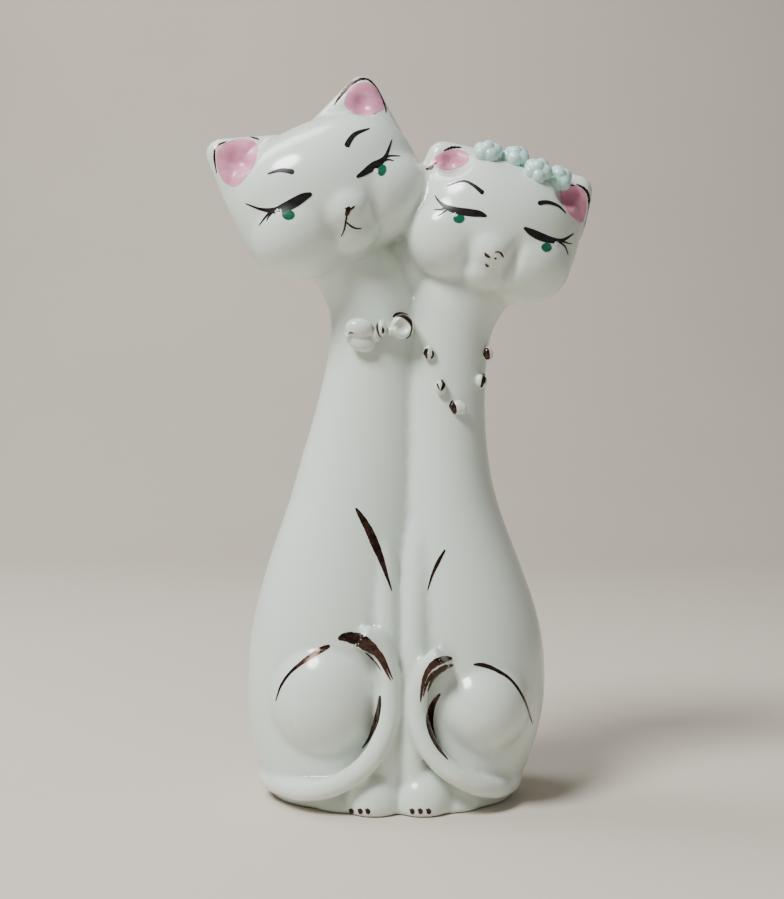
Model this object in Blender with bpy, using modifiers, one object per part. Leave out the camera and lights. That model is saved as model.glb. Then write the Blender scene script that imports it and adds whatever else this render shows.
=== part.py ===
"""Glazed porcelain figurine of two seated cats leaning cheek to cheek.

Three hollow slip castings (the joined bodies and the two heads) are luted edge to edge. A bow of three
rolled pieces, a necklace of pellets and a row of blossoms are shaped by hand and luted on.
Metres, +Z up, the faces look along -Y, and the origin is at the middle of the flat base.
"""

import math

import bmesh
import bpy
from mathutils import Matrix, Vector
from mathutils.bvhtree import BVHTree

MM = 0.001

# Body casting: both cats from the base to the fork where necks and cheeks meet.
BODY_HEIGHT = 187.5 * MM
BODY_WIDTH = 108.0 * MM
BODY_DEPTH = 59.0 * MM
WALL = 3.5 * MM
SKULL_WALL = 4.5 * MM
FLOOR = 4.0 * MM
VENT_DIAMETER = 12.0 * MM

# Head castings. Tilt leans the crown sideways (+ towards +X), turn swings the face (+ towards +X).
TALL_HEAD_WIDTH = 70.0 * MM
TALL_HEAD_DEPTH = 51.0 * MM
TALL_HEAD_HEIGHT = 53.0 * MM
TALL_HEAD_RISE = 25.5 * MM
TALL_HEAD_TILT = -26.0
TALL_HEAD_TURN = 9.0
SHORT_HEAD_WIDTH = 62.0 * MM
SHORT_HEAD_DEPTH = 46.0 * MM
SHORT_HEAD_HEIGHT = 50.0 * MM
SHORT_HEAD_RISE = 13.5 * MM
SHORT_HEAD_TILT = 17.0
SHORT_HEAD_TURN = 3.0
CHEEK_LAP = 2.5 * MM
SKULL_SQUARENESS = 2.5
TALL_EAR_RISES = (8.0 * MM, 8.5 * MM)
SHORT_EAR_RISES = (0.0 * MM, 3.0 * MM)
EAR_THICKNESS = 11.0 * MM
EAR_TIP_RADIUS = 5.8 * MM
EAR_HOLLOW_DEPTH = 2.2 * MM

# Relief on the body casting.
TAIL_DIAMETER = 7.4 * MM
FORELEG_DIAMETER = 10.0 * MM

# Pieces luted on.
BOW_LOOP_LENGTHS = (11.2 * MM, 9.0 * MM)
BOW_LOOP_HEIGHTS = (11.8 * MM, 9.6 * MM)
BOW_LOOP_DROPS = (2.2 * MM, 0.2 * MM)
BOW_LOOP_THICKNESS = 8.0 * MM
BOW_KNOT_HEIGHT = 6.4 * MM
BOW_KNOT_WIDTH = 4.0 * MM
PELLET_HEIGHT = 5.4 * MM
PELLET_THICKNESS = 4.2 * MM
PELLET_WIDTHS = (4.4 * MM, 4.4 * MM, 6.2 * MM, 5.0 * MM, 4.8 * MM)
PETAL_DIAMETER = 5.2 * MM
PETALS = 5
BLOSSOM_DIAMETER = 11.4 * MM
BLOSSOM_LEAN = 24.0

# Luting: the gap that two touching pieces keep, and how deep a luted piece is bedded.
JOINT_GAP = 0.3 * MM
BEDDING = 0.8 * MM

# Brings the origin under the middle of the whole figure, paws, tails and ears included.
CENTRING = Vector((-0.7 * MM, 2.2 * MM, 0.0))

# Fineness of the solids.
VOXEL = 1.5 * MM
SMOOTHING_STEPS = 5
CASTING_FACES = 5600
SMALL_VOXEL = 0.55 * MM

FRONT = -1.0
CHEEK_X = 6.0 * MM
JOINT_X = 4.5 * MM
TALL_JOINT_SLOPE = math.radians(17.6)
SHORT_JOINT_SLOPE = math.radians(-32.8)

# One cat's torso up its height: share of the body's height, then centre and half-width as shares of the
# body's half-width, and half-depth as a share of its half-depth.
TALL_TORSO = (
    (-0.030, -0.330, 0.470, 0.86),
    (0.000, -0.335, 0.500, 0.90),
    (0.043, -0.372, 0.550, 0.95),
    (0.096, -0.392, 0.583, 0.97),
    (0.171, -0.405, 0.598, 1.00),
    (0.245, -0.403, 0.600, 1.00),
    (0.325, -0.394, 0.583, 0.97),
    (0.400, -0.357, 0.553, 0.90),
    (0.480, -0.311, 0.513, 0.81),
    (0.555, -0.262, 0.462, 0.73),
    (0.635, -0.228, 0.425, 0.645),
    (0.747, -0.175, 0.355, 0.543),
    (0.864, -0.138, 0.305, 0.492),
    (0.930, -0.150, 0.305, 0.480),
    (0.985, -0.230, 0.345, 0.500),
    (1.060, -0.340, 0.350, 0.500),
)
SHORT_TORSO = (
    (-0.030, 0.318, 0.415, 0.86),
    (0.000, 0.320, 0.440, 0.90),
    (0.043, 0.352, 0.488, 0.95),
    (0.096, 0.382, 0.530, 0.97),
    (0.171, 0.408, 0.570, 1.00),
    (0.245, 0.414, 0.572, 1.00),
    (0.325, 0.399, 0.553, 0.97),
    (0.400, 0.373, 0.492, 0.90),
    (0.480, 0.340, 0.418, 0.81),
    (0.555, 0.305, 0.353, 0.73),
    (0.635, 0.288, 0.311, 0.645),
    (0.747, 0.279, 0.294, 0.543),
    (0.864, 0.290, 0.310, 0.492),
    (0.905, 0.330, 0.335, 0.490),
    (0.950, 0.410, 0.370, 0.500),
    (1.030, 0.560, 0.370, 0.500),
)
TORSO_SIDES = 20


def collection(name, hidden=False):
    made = bpy.data.collections.new(name)
    made.hide_render = hidden
    bpy.context.scene.collection.children.link(made)
    return made


def clear_scene():
    for old in list(bpy.data.objects):
        bpy.data.objects.remove(old)


def mesh_object(name, shape, home):
    """An object of a bmesh, in a collection."""
    mesh = bpy.data.meshes.new(name)
    shape.to_mesh(mesh)
    shape.free()
    made = bpy.data.objects.new(name, mesh)
    home.objects.link(made)
    return made


def evaluated_mesh(made, name):
    """The mesh of an object with its modifiers applied."""
    bpy.context.view_layer.update()
    graph = bpy.context.evaluated_depsgraph_get()
    mesh = bpy.data.meshes.new_from_object(made.evaluated_get(graph))
    mesh.name = name
    return mesh


def material(name, colour, roughness, metallic=0.0):
    made = bpy.data.materials.new(name)
    made.use_nodes = True
    made.diffuse_color = (*colour, 1.0)
    shader = made.node_tree.nodes["Principled BSDF"]
    shader.inputs["Base Color"].default_value = (*colour, 1.0)
    shader.inputs["Roughness"].default_value = roughness
    shader.inputs["Metallic"].default_value = metallic
    return made


def on_body(across, deep, up):
    """A point at shares of the body's half-width, half-depth and height."""
    return Vector((across * BODY_WIDTH / 2, deep * BODY_DEPTH / 2, up * BODY_HEIGHT))


def add_ellipsoid(shape, centre, radii, turned=Matrix.Identity(4), rings=12):
    """Adds a closed ellipsoid to a bmesh, at a centre in the frame of a matrix."""
    place = turned @ Matrix.Translation(centre) @ Matrix.Diagonal((*radii, 1.0))
    bmesh.ops.create_uvsphere(shape, u_segments=2 * rings, v_segments=rings, radius=1.0, matrix=place)


def add_torso(shape, stations, shrink=0.0, low=None):
    """Adds a closed loft of ellipses up one cat's body. Shrink draws its wall in, low cuts its foot off."""
    rows = []
    for up, across, half_width, half_depth in stations:
        z = up * BODY_HEIGHT
        if low is not None:
            z = max(z, low)
        centre = on_body(across, 0.0, 0.0)
        wide = half_width * BODY_WIDTH / 2 - shrink
        deep = half_depth * BODY_DEPTH / 2 - shrink
        row = []
        for side in range(TORSO_SIDES):
            angle = 2 * math.pi * side / TORSO_SIDES
            row.append(shape.verts.new((centre.x + wide * math.cos(angle), deep * math.sin(angle), z)))
        if rows and z <= rows[-1][0].co.z:
            for lower in rows.pop():
                shape.verts.remove(lower)
        rows.append(row)
    for below, above in zip(rows, rows[1:]):
        for side in range(TORSO_SIDES):
            nxt = (side + 1) % TORSO_SIDES
            shape.faces.new((below[side], below[nxt], above[nxt], above[side]))
    shape.faces.new(reversed(rows[0]))
    shape.faces.new(rows[-1])


def torso_object(name, stations, home, shrink=0.0, low=None):
    shape = bmesh.new()
    add_torso(shape, stations, shrink, low)
    made = mesh_object(name, shape, home)
    if not shrink:
        rounding = made.modifiers.new("rounding", "SUBSURF")
        rounding.levels = rounding.render_levels = 1
    return made


def head_frame(width, height, tilt, turn, side, rise):
    """The matrix of a head: its cheek laps the plane where the two heads touch, side -1 or 1 of it."""
    lean = math.radians(tilt)
    reach = math.hypot(width / 2 * math.cos(lean), height / 2 * math.sin(lean))
    centre = Vector((CHEEK_X + side * (reach - CHEEK_LAP), FRONT * 4.0 * MM, BODY_HEIGHT + rise))
    turned = Matrix.Rotation(lean, 4, "Y") @ Matrix.Rotation(math.radians(turn), 4, "Z")
    return Matrix.Translation(centre) @ turned


# Each head: its frame, half-sizes, and how far its ears rise over the crown.
def tall_head():
    frame = head_frame(TALL_HEAD_WIDTH, TALL_HEAD_HEIGHT, TALL_HEAD_TILT, TALL_HEAD_TURN, -1, TALL_HEAD_RISE)
    return frame, Vector((TALL_HEAD_WIDTH, TALL_HEAD_DEPTH, TALL_HEAD_HEIGHT)) / 2, TALL_EAR_RISES


def short_head():
    frame = head_frame(
        SHORT_HEAD_WIDTH, SHORT_HEAD_HEIGHT, SHORT_HEAD_TILT, SHORT_HEAD_TURN, 1, SHORT_HEAD_RISE
    )
    return frame, Vector((SHORT_HEAD_WIDTH, SHORT_HEAD_DEPTH, SHORT_HEAD_HEIGHT)) / 2, SHORT_EAR_RISES


def add_skull(shape, frame, half, rings=16):
    """Adds an egg that is squared off as seen from the front."""
    made = bmesh.ops.create_uvsphere(shape, u_segments=2 * rings, v_segments=rings, radius=1.0)
    for vert in made["verts"]:
        wide, high = abs(vert.co.x), abs(vert.co.z)
        spread = math.hypot(wide, high)
        if spread > 0.0:
            square = (wide**SKULL_SQUARENESS + high**SKULL_SQUARENESS) ** (1 / SKULL_SQUARENESS)
            vert.co.x *= spread / square
            vert.co.z *= spread / square
        vert.co = frame @ Vector((vert.co.x * half.x, vert.co.y * half.y, vert.co.z * half.z))


def add_head(shape, frame, half, ear_rises):
    """Adds a cat's head: skull, puffed cheeks, muzzle, chin and two rounded ears."""
    add_skull(shape, frame, half)
    for side, rise in zip((-1, 1), ear_rises):
        cheek = Vector((side * 0.43 * half.x, -0.24 * half.y, -0.32 * half.z))
        add_ellipsoid(shape, cheek, Vector((0.54 * half.x, 0.70 * half.y, 0.62 * half.z)), frame)
        add_ear(shape, frame, half, rise, side)
    muzzle = Vector((0, -0.70 * half.y, -0.40 * half.z))
    add_ellipsoid(shape, muzzle, Vector((0.27 * half.x, 0.36 * half.y, 0.32 * half.z)), frame)
    chin = Vector((0, -0.52 * half.y, -0.68 * half.z))
    add_ellipsoid(shape, chin, Vector((0.28 * half.x, 0.36 * half.y, 0.26 * half.z)), frame)


def ear_corners(half, rise, side):
    """The tip and the inner and outer foot of an ear in its head's frame."""
    tip = Vector((side * 0.80 * half.x, 0.0, half.z + rise - EAR_TIP_RADIUS))
    inner = Vector((side * 0.26 * half.x, 0.0, 0.84 * half.z))
    outer = Vector((side * 0.84 * half.x, 0.0, 0.34 * half.z))
    return tip, inner, outer


def add_ear(shape, frame, half, rise, side):
    """Adds one ear, the hull of a ball at its tip and one at each foot."""
    hull = bmesh.new()
    deep = EAR_THICKNESS / 2
    for corner, ball in zip(ear_corners(half, rise, side), (EAR_TIP_RADIUS, deep, deep)):
        add_ellipsoid(hull, corner, Vector((ball, 0.9 * deep, ball)), rings=8)
    found = bmesh.ops.convex_hull(hull, input=hull.verts[:])
    bmesh.ops.delete(hull, geom=found["geom_interior"] + found["geom_unused"], context="VERTS")
    hull.transform(frame)
    skin = bpy.data.meshes.new("ear")
    hull.to_mesh(skin)
    hull.free()
    shape.from_mesh(skin)
    bpy.data.meshes.remove(skin)


def add_ear_hollow(shape, frame, half, rise, side):
    """Adds the shallow dish that hollows the front of an ear."""
    tip, inner, outer = ear_corners(half, rise, side)
    middle = (2.8 * tip + inner + outer) / 4.8
    wide = 0.32 * (inner - outer).length
    along = Matrix.Rotation(side * math.radians(24.0), 4, "Y")
    deep = EAR_THICKNESS
    centre = Vector((0, FRONT * (0.5 * EAR_THICKNESS + deep - EAR_HOLLOW_DEPTH), 0))
    place = frame @ Matrix.Translation(middle) @ along
    add_ellipsoid(shape, centre, Vector((wide, deep, 1.1 * wide)), place, rings=8)


def tube_path(points, radii, name, home):
    """A tapering round tube on a smooth path, as a curve."""
    curve = bpy.data.curves.new(name, "CURVE")
    curve.dimensions = "3D"
    curve.bevel_depth = 1.0
    curve.bevel_resolution = 3
    curve.use_fill_caps = True
    curve.resolution_u = 6
    spline = curve.splines.new("BEZIER")
    spline.bezier_points.add(len(points) - 1)
    for knot, point, radius in zip(spline.bezier_points, points, radii):
        knot.co = point
        knot.radius = radius
        knot.handle_left_type = knot.handle_right_type = "AUTO"
    made = bpy.data.objects.new(name, curve)
    home.objects.link(made)
    return made


# Each tail comes round the foot of the body from the back, passes under the thigh and rises inside it.
TALL_TAIL = (
    (-0.05, 0.86, 0.075),
    (-0.42, 0.98, 0.050),
    (-0.74, 0.56, 0.036),
    (-0.86, -0.10, 0.036),
    (-0.74, -0.66, 0.036),
    (-0.54, -1.02, 0.042),
    (-0.35, -1.13, 0.062),
    (-0.18, -1.13, 0.100),
    (-0.085, -1.08, 0.150),
    (-0.055, -1.03, 0.205),
    (-0.065, -1.02, 0.260),
    (-0.125, -1.03, 0.302),
    (-0.240, -1.06, 0.322),
)
SHORT_TAIL = (
    (0.09, 0.86, 0.075),
    (0.42, 0.94, 0.050),
    (0.67, 0.50, 0.034),
    (0.755, -0.10, 0.032),
    (0.67, -0.64, 0.034),
    (0.56, -0.94, 0.044),
    (0.40, -1.10, 0.066),
    (0.245, -1.13, 0.100),
    (0.150, -1.10, 0.145),
    (0.115, -1.05, 0.195),
    (0.145, -1.04, 0.240),
    (0.205, -1.08, 0.268),
    (0.275, -1.12, 0.285),
)


def tail(name, path, home):
    """A tail that swells a little to a blunt tip."""
    points = [on_body(*share) for share in path]
    plain = TAIL_DIAMETER / 2
    radii = [plain] * (len(points) - 2) + [1.12 * plain, 1.25 * plain]
    return tube_path(points, radii, name, home)


def foreleg(name, across, home):
    """A foreleg as a low rounded ridge beside the groove between the cats."""
    points = [on_body(across * 1.9, -0.36, 0.60), on_body(across * 1.3, -0.62, 0.45), on_body(across, -0.84, 0.28)]
    points += [on_body(across * 0.8, -0.92, 0.13), on_body(across, -0.90, 0.05)]
    plain = FORELEG_DIAMETER / 2
    return tube_path(points, [0.8 * plain, plain, plain, 0.9 * plain, plain], name, home)


def add_haunches(shape):
    """Adds the round thighs and the two front paws."""
    add_ellipsoid(shape, on_body(-0.450, -0.50, 0.200), Vector((21.0, 21.5, 23.5)) * MM)
    add_ellipsoid(shape, on_body(0.520, -0.50, 0.185), Vector((18.0, 20.5, 18.5)) * MM)
    for across in (-0.155, 0.150):
        add_ellipsoid(shape, on_body(across, -0.80, 0.020), Vector((11.0, 12.0, 11.5)) * MM)
        add_ellipsoid(shape, on_body(across * 2.1, -0.62, 0.000), Vector((13.0, 12.0, 7.5)) * MM)


def box_object(name, low, high, home):
    shape = bmesh.new()
    middle = (Vector(low) + Vector(high)) / 2
    span = Vector(high) - Vector(low)
    bmesh.ops.create_cube(shape, size=1.0, matrix=Matrix.Translation(middle) @ Matrix.Diagonal((*span, 1.0)))
    return mesh_object(name, shape, home)


def subtract(made, cutter, solver="EXACT"):
    cut = made.modifiers.new("cut", "BOOLEAN")
    cut.operation = "DIFFERENCE"
    cut.solver = solver
    cut.object = cutter
    return cut


def merged(name, parts, home, voxel, steps, faces):
    """One closed skin round overlapping closed shapes, softened and thinned to about a number of triangles."""
    whole = bmesh.new()
    for part in parts:
        mesh = evaluated_mesh(part, "shape")
        mesh.transform(part.matrix_world)
        whole.from_mesh(mesh)
    bmesh.ops.remove_doubles(whole, verts=whole.verts, dist=0.001 * MM)
    made = mesh_object(name, whole, home)
    skin = made.modifiers.new("skin", "REMESH")
    skin.mode = "VOXEL"
    skin.voxel_size = voxel
    soften = made.modifiers.new("soften", "SMOOTH")
    soften.factor = 0.5
    soften.iterations = steps
    bpy.context.view_layer.update()
    count = 2 * len(evaluated_mesh(made, "count").polygons)
    thin = made.modifiers.new("thin", "DECIMATE")
    thin.ratio = min(1.0, faces / count)
    return made


def casting_form(shapes):
    """The outer form of all three castings as one skin, flat on the base plane."""
    relief = bmesh.new()
    add_haunches(relief)
    for head in (tall_head(), short_head()):
        add_head(relief, *head)
    fork = Vector((JOINT_X, FRONT * 1.0 * MM, BODY_HEIGHT + 1.0 * MM))
    add_ellipsoid(relief, fork, Vector((15.0, 12.5, 17.0)) * MM)
    parts = [
        torso_object("tall_torso", TALL_TORSO, shapes),
        torso_object("short_torso", SHORT_TORSO, shapes),
        tail("tall_tail", TALL_TAIL, shapes),
        tail("short_tail", SHORT_TAIL, shapes),
        foreleg("tall_foreleg", -0.075, shapes),
        foreleg("short_foreleg", 0.095, shapes),
        mesh_object("relief", relief, shapes),
    ]
    form = merged("casting_form", parts, shapes, VOXEL, SMOOTHING_STEPS, CASTING_FACES)
    reach = Vector((BODY_WIDTH, BODY_DEPTH, 0.0))
    subtract(form, box_object("ground", -reach - Vector((0, 0, BODY_HEIGHT)), reach, shapes), "MANIFOLD")
    for frame, half, ear_rises in (tall_head(), short_head()):
        for side, rise in zip((-1, 1), ear_rises):
            dish = bmesh.new()
            add_ear_hollow(dish, frame, half, rise, side)
            subtract(form, mesh_object("ear_hollow", dish, shapes), "MANIFOLD")
    return form


def hollow_cutters(shapes):
    """The drained inside of the castings: the torsos, the skulls, and the vent through the floor."""
    cutters = [
        torso_object("tall_hollow", TALL_TORSO, shapes, WALL, FLOOR),
        torso_object("short_hollow", SHORT_TORSO, shapes, WALL, FLOOR),
    ]
    for frame, half, _ in (tall_head(), short_head()):
        inside = bmesh.new()
        drained = half - Vector((SKULL_WALL, SKULL_WALL, SKULL_WALL))
        add_ellipsoid(inside, Vector((0, 0, 0)), drained, frame, rings=9)
        cutters.append(mesh_object("skull_hollow", inside, shapes))
    vent = bmesh.new()
    bmesh.ops.create_cone(
        vent, cap_ends=True, segments=32, radius1=VENT_DIAMETER / 2, radius2=VENT_DIAMETER / 2, depth=4 * FLOOR
    )
    cutters.append(mesh_object("vent", vent, shapes))
    return cutters


def joint_cutters(shapes):
    """Thin slabs along the luted joints: under each head, and between the cheeks."""
    fork = Vector((JOINT_X, 0.0, BODY_HEIGHT))
    long, deep = 2.5 * BODY_WIDTH, 2.0 * BODY_DEPTH
    slabs = []
    cheek_lean = math.atan2(CHEEK_X - JOINT_X, TALL_HEAD_RISE)
    for name, angle in (
        ("tall_joint", math.pi - TALL_JOINT_SLOPE),
        ("short_joint", -SHORT_JOINT_SLOPE),
        ("cheek_joint", -math.pi / 2 + cheek_lean),
    ):
        slab = bmesh.new()
        place = Matrix.Translation(fork) @ Matrix.Rotation(angle, 4, "Y")
        place = place @ Matrix.Translation((long / 2 - JOINT_GAP / 2, 0.0, 0.0))
        bmesh.ops.create_cube(slab, size=1.0, matrix=place @ Matrix.Diagonal((long, deep, JOINT_GAP, 1.0)))
        slabs.append(mesh_object(name, slab, shapes))
    return slabs


def loose_bodies(mesh):
    """A mesh split into its separate bodies, as bmeshes."""
    rest = bmesh.new()
    rest.from_mesh(mesh)
    bodies = []
    while rest.verts:
        found = {rest.verts[:][0]}
        edge = list(found)
        while edge:
            nearby = {line.other_vert(vert) for vert in edge for line in vert.link_edges} - found
            found |= nearby
            edge = list(nearby)
        body = rest.copy()
        keep = {vert.index for vert in found}
        body.verts.index_update()
        body.verts.ensure_lookup_table()
        bmesh.ops.delete(body, geom=[v for v in body.verts if v.index not in keep], context="VERTS")
        bodies.append(body)
        bmesh.ops.delete(rest, geom=list(found), context="VERTS")
        rest.verts.index_update()
    return bodies


def castings(figure, shapes, porcelain):
    """The body casting and the two head castings."""
    form = casting_form(shapes)
    for cutter in hollow_cutters(shapes) + joint_cutters(shapes):
        subtract(form, cutter, "MANIFOLD")
    bodies = loose_bodies(evaluated_mesh(form, "castings"))
    bodies.sort(key=lambda body: body.calc_volume())
    made = {}
    heads = sorted(bodies[-3:-1], key=lambda body: sum(v.co.x for v in body.verts) / len(body.verts))
    for name, body in (("body_casting", bodies[-1]), ("tall_cat_head", heads[0]), ("short_cat_head", heads[1])):
        made[name] = mesh_object(name, body, figure)
        made[name].data.materials.append(porcelain)
    return made


def seat_tree(casting):
    """A casting's skin for finding where luted pieces sit."""
    graph = bpy.context.evaluated_depsgraph_get()
    return BVHTree.FromObject(casting, graph)


def seat_frame(tree, start, towards, spin=0.0):
    """A frame on the skin that a ray hits: +Z stands off the skin, and +X runs to the viewer's right."""
    point, normal, _, _ = tree.ray_cast(start, towards)
    right = Vector((1, 0, 0)) - normal * normal.x
    right.normalize()
    up = normal.cross(right)
    turned = Matrix((right, up, normal)).transposed().to_4x4()
    return Matrix.Translation(point) @ turned @ Matrix.Rotation(spin, 4, "Z")


def seat_cutter(casting, shapes):
    """A piece grown by the joint gap, which cuts the seat of what is luted against it."""
    grown = bpy.data.objects.new(casting.name + "_seat", casting.data)
    shapes.objects.link(grown)
    swell = grown.modifiers.new("swell", "DISPLACE")
    swell.mid_level = 0.0
    swell.strength = JOINT_GAP
    return grown


def luted(name, shape, seat, figure, finish):
    """A hand-shaped piece, its back fitted to the casting it sits on."""
    made = mesh_object(name, shape, figure)
    made.data.materials.append(finish)
    subtract(made, seat)
    return made


def add_loop(shape, frame, side, length, height, drop):
    """Adds one loop of the bow: narrow at the knot, full at its outer end."""
    half = Vector((length / 2, height / 2, BOW_LOOP_THICKNESS / 2))
    centre = Vector((side * (BOW_KNOT_WIDTH / 2 + JOINT_GAP + half.x), 0.0, half.z - BEDDING))
    add_ellipsoid(shape, centre, half, rings=10)
    for vert in shape.verts:
        along = min(1.0, max(0.0, (side * vert.co.x - BOW_KNOT_WIDTH / 2) / length))
        full = 0.42 + 0.58 * math.sin(math.pi / 2 * min(1.0, 1.5 * along))
        vert.co.y = vert.co.y * full - drop * along
        vert.co.z = (vert.co.z - centre.z) * full + centre.z * (0.55 + 0.45 * full)
    shape.transform(frame)


def bow(casting, figure, shapes, porcelain):
    """The bow under the tall cat's chin: two loops and a knot."""
    tree = seat_tree(casting)
    seat = seat_cutter(casting, shapes)
    start = on_body(-0.108, -3.0, 0.877)
    frame = seat_frame(tree, start, Vector((0, 1, 0)), math.radians(6.0))
    for place, (name, side) in enumerate((("bow_left_loop", -1), ("bow_right_loop", 1))):
        loop = bmesh.new()
        add_loop(loop, frame, side, BOW_LOOP_LENGTHS[place], BOW_LOOP_HEIGHTS[place], BOW_LOOP_DROPS[place])
        luted(name, loop, seat, figure, porcelain)
    knot = bmesh.new()
    half = Vector((BOW_KNOT_WIDTH / 2, BOW_KNOT_HEIGHT / 2, BOW_LOOP_THICKNESS / 2))
    add_ellipsoid(knot, Vector((0, 0, half.z - BEDDING)), half, frame, rings=8)
    luted("bow_knot", knot, seat, figure, porcelain)


# Pellets of the necklace, at shares of the body's half-width and height.
NECKLACE = ((0.206, 0.834), (0.272, 0.768), (0.382, 0.731), (0.522, 0.782), (0.566, 0.836))


def necklace(casting, figure, shapes, porcelain):
    """Rolled pellets in a hanging curve on the short cat's throat."""
    tree = seat_tree(casting)
    seat = seat_cutter(casting, shapes)
    for number, (across, up) in enumerate(NECKLACE, 1):
        start = on_body(across, -3.0, up)
        frame = seat_frame(tree, start, Vector((0, 1, 0)))
        pellet = bmesh.new()
        half = Vector((PELLET_WIDTHS[number - 1] / 2, PELLET_HEIGHT / 2, PELLET_THICKNESS / 2))
        add_ellipsoid(pellet, Vector((0, 0, half.z - BEDDING)), half, frame, rings=8)
        luted(f"necklace_pellet_{number}", pellet, seat, figure, porcelain)


# Blossoms over the short cat's brow: degrees from the crown towards +X, degrees towards the face, and spin.
BLOSSOMS = ((-26.0, 21.0, 10.0), (-1.0, 17.0, 40.0), (20.0, 29.0, -12.0), (36.0, 16.0, 25.0))


def blossoms(casting, figure, shapes, glaze):
    """Flowers of five pressed pellets round a middle one."""
    tree = seat_tree(casting)
    seat = seat_cutter(casting, shapes)
    head, _, _ = short_head()
    ring = (BLOSSOM_DIAMETER - PETAL_DIAMETER) / 2
    neighbour = None
    for number, (sideways, forwards, spin) in enumerate(BLOSSOMS, 1):
        lean = Matrix.Rotation(math.radians(sideways), 4, "Y") @ Matrix.Rotation(math.radians(forwards), 4, "X")
        out = (head.to_3x3() @ lean.to_3x3() @ Vector((0, 0, 1))).normalized()
        start = head.translation + out * SHORT_HEAD_WIDTH
        frame = seat_frame(tree, start, -out) @ Matrix.Rotation(math.radians(BLOSSOM_LEAN), 4, "X")
        frame = frame @ Matrix.Rotation(math.radians(spin), 4, "Z")
        ball = PETAL_DIAMETER / 2
        flower = bmesh.new()
        add_ellipsoid(flower, Vector((0, 0, ball)), Vector((0.8 * ball, 0.8 * ball, ball)), frame, rings=8)
        for petal in range(PETALS):
            angle = 2 * math.pi * petal / PETALS
            centre = Vector((ring * math.cos(angle), ring * math.sin(angle), ball - BEDDING))
            add_ellipsoid(flower, centre, Vector((ball, ball, ball)), frame, rings=8)
        loose = mesh_object(f"blossom_{number}_pellets", flower, shapes)
        skin = merged(f"blossom_{number}_skin", [loose], shapes, SMALL_VOXEL, 1, 360)
        made = bpy.data.objects.new(f"blossom_{number}", evaluated_mesh(skin, f"blossom_{number}"))
        figure.objects.link(made)
        made.data.materials.clear()
        made.data.materials.append(glaze)
        subtract(made, seat)
        if neighbour:
            subtract(made, neighbour)
        neighbour = seat_cutter(made, shapes)


def main():
    clear_scene()
    figure = collection("cat_pair_figurine")
    shapes = collection("forms_and_cutters", hidden=True)
    porcelain = material("glazed_porcelain", (0.80, 0.83, 0.79), 0.12)
    blue_glaze = material("pale_blue_glaze", (0.58, 0.76, 0.73), 0.25)
    made = castings(figure, shapes, porcelain)
    bow(made["body_casting"], figure, shapes, porcelain)
    necklace(made["body_casting"], figure, shapes, porcelain)
    blossoms(made["short_cat_head"], figure, shapes, blue_glaze)
    for helper in shapes.objects:
        helper.hide_render = True
        helper.display_type = "WIRE"
    for made_object in bpy.data.objects:
        made_object.location += CENTRING


main()
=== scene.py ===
"""A glazed porcelain pair of cats: the clear-glazed skin, the luted trim and the overglaze painting."""

import math

import bpy
from mathutils import Matrix, Vector
from mathutils.bvhtree import BVHTree


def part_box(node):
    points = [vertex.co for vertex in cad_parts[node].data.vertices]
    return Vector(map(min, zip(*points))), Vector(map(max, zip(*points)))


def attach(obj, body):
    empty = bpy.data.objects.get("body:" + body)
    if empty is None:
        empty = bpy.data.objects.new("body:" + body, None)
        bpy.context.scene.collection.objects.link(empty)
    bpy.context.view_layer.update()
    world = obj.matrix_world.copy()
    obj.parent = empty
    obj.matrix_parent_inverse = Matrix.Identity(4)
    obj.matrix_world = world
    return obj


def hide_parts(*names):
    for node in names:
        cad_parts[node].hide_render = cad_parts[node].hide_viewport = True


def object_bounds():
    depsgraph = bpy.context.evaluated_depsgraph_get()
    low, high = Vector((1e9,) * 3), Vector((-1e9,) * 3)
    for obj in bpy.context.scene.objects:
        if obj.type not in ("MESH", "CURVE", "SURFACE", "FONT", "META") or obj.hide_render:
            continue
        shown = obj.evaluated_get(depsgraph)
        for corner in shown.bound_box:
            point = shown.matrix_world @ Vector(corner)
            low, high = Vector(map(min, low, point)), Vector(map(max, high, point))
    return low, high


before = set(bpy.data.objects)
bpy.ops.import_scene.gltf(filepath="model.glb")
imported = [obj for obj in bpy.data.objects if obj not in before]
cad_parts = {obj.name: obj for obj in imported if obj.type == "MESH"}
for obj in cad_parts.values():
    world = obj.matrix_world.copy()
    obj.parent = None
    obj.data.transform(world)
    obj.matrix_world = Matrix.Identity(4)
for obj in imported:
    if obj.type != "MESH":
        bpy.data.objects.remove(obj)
CAD_LOW, CAD_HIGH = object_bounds()

MM = 0.001


def inside(node, across, deep, up):
    """A point at shares of a CAD node's box."""
    low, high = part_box(node)
    low, high = Vector(low), Vector(high)
    return low + Vector(share * size for share, size in zip((across, deep, up), high - low))


def size_of(node):
    low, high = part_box(node)
    return Vector(high) - Vector(low)


# The two torsos stand round one upright axis.
BODY = size_of("body_casting")
HALF_WIDTH = 0.510 * BODY.x
HALF_DEPTH = 0.425 * BODY.y
AXIS = inside("body_casting", 0.5, 0.5, 0.0) + Vector((0.55, 2.2, 0.0)) * MM
FORK = AXIS + Vector((4.5 * MM, 0.0, BODY.z))

TALL_HEAD = inside("tall_cat_head", 0.573, 0.507, 0.446)
SHORT_HEAD = inside("short_cat_head", 0.453, 0.513, 0.516)

# Fineness of the clay, and how far it is sponged smooth.
SKIN_VOXEL = 0.9 * MM
SPONGING = 11
FACE_SPONGING = 23


def place(across, deep, up):
    """A point at shares of the body's half-width, half-depth and height."""
    return AXIS + Vector((across * HALF_WIDTH, deep * HALF_DEPTH, up * BODY.z))


def deselect():
    if bpy.context.mode != "OBJECT":
        bpy.ops.object.mode_set(mode="OBJECT")
    bpy.ops.object.select_all(action="DESELECT")


def only(made):
    deselect()
    made.select_set(True)
    bpy.context.view_layer.objects.active = made
    return made


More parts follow.
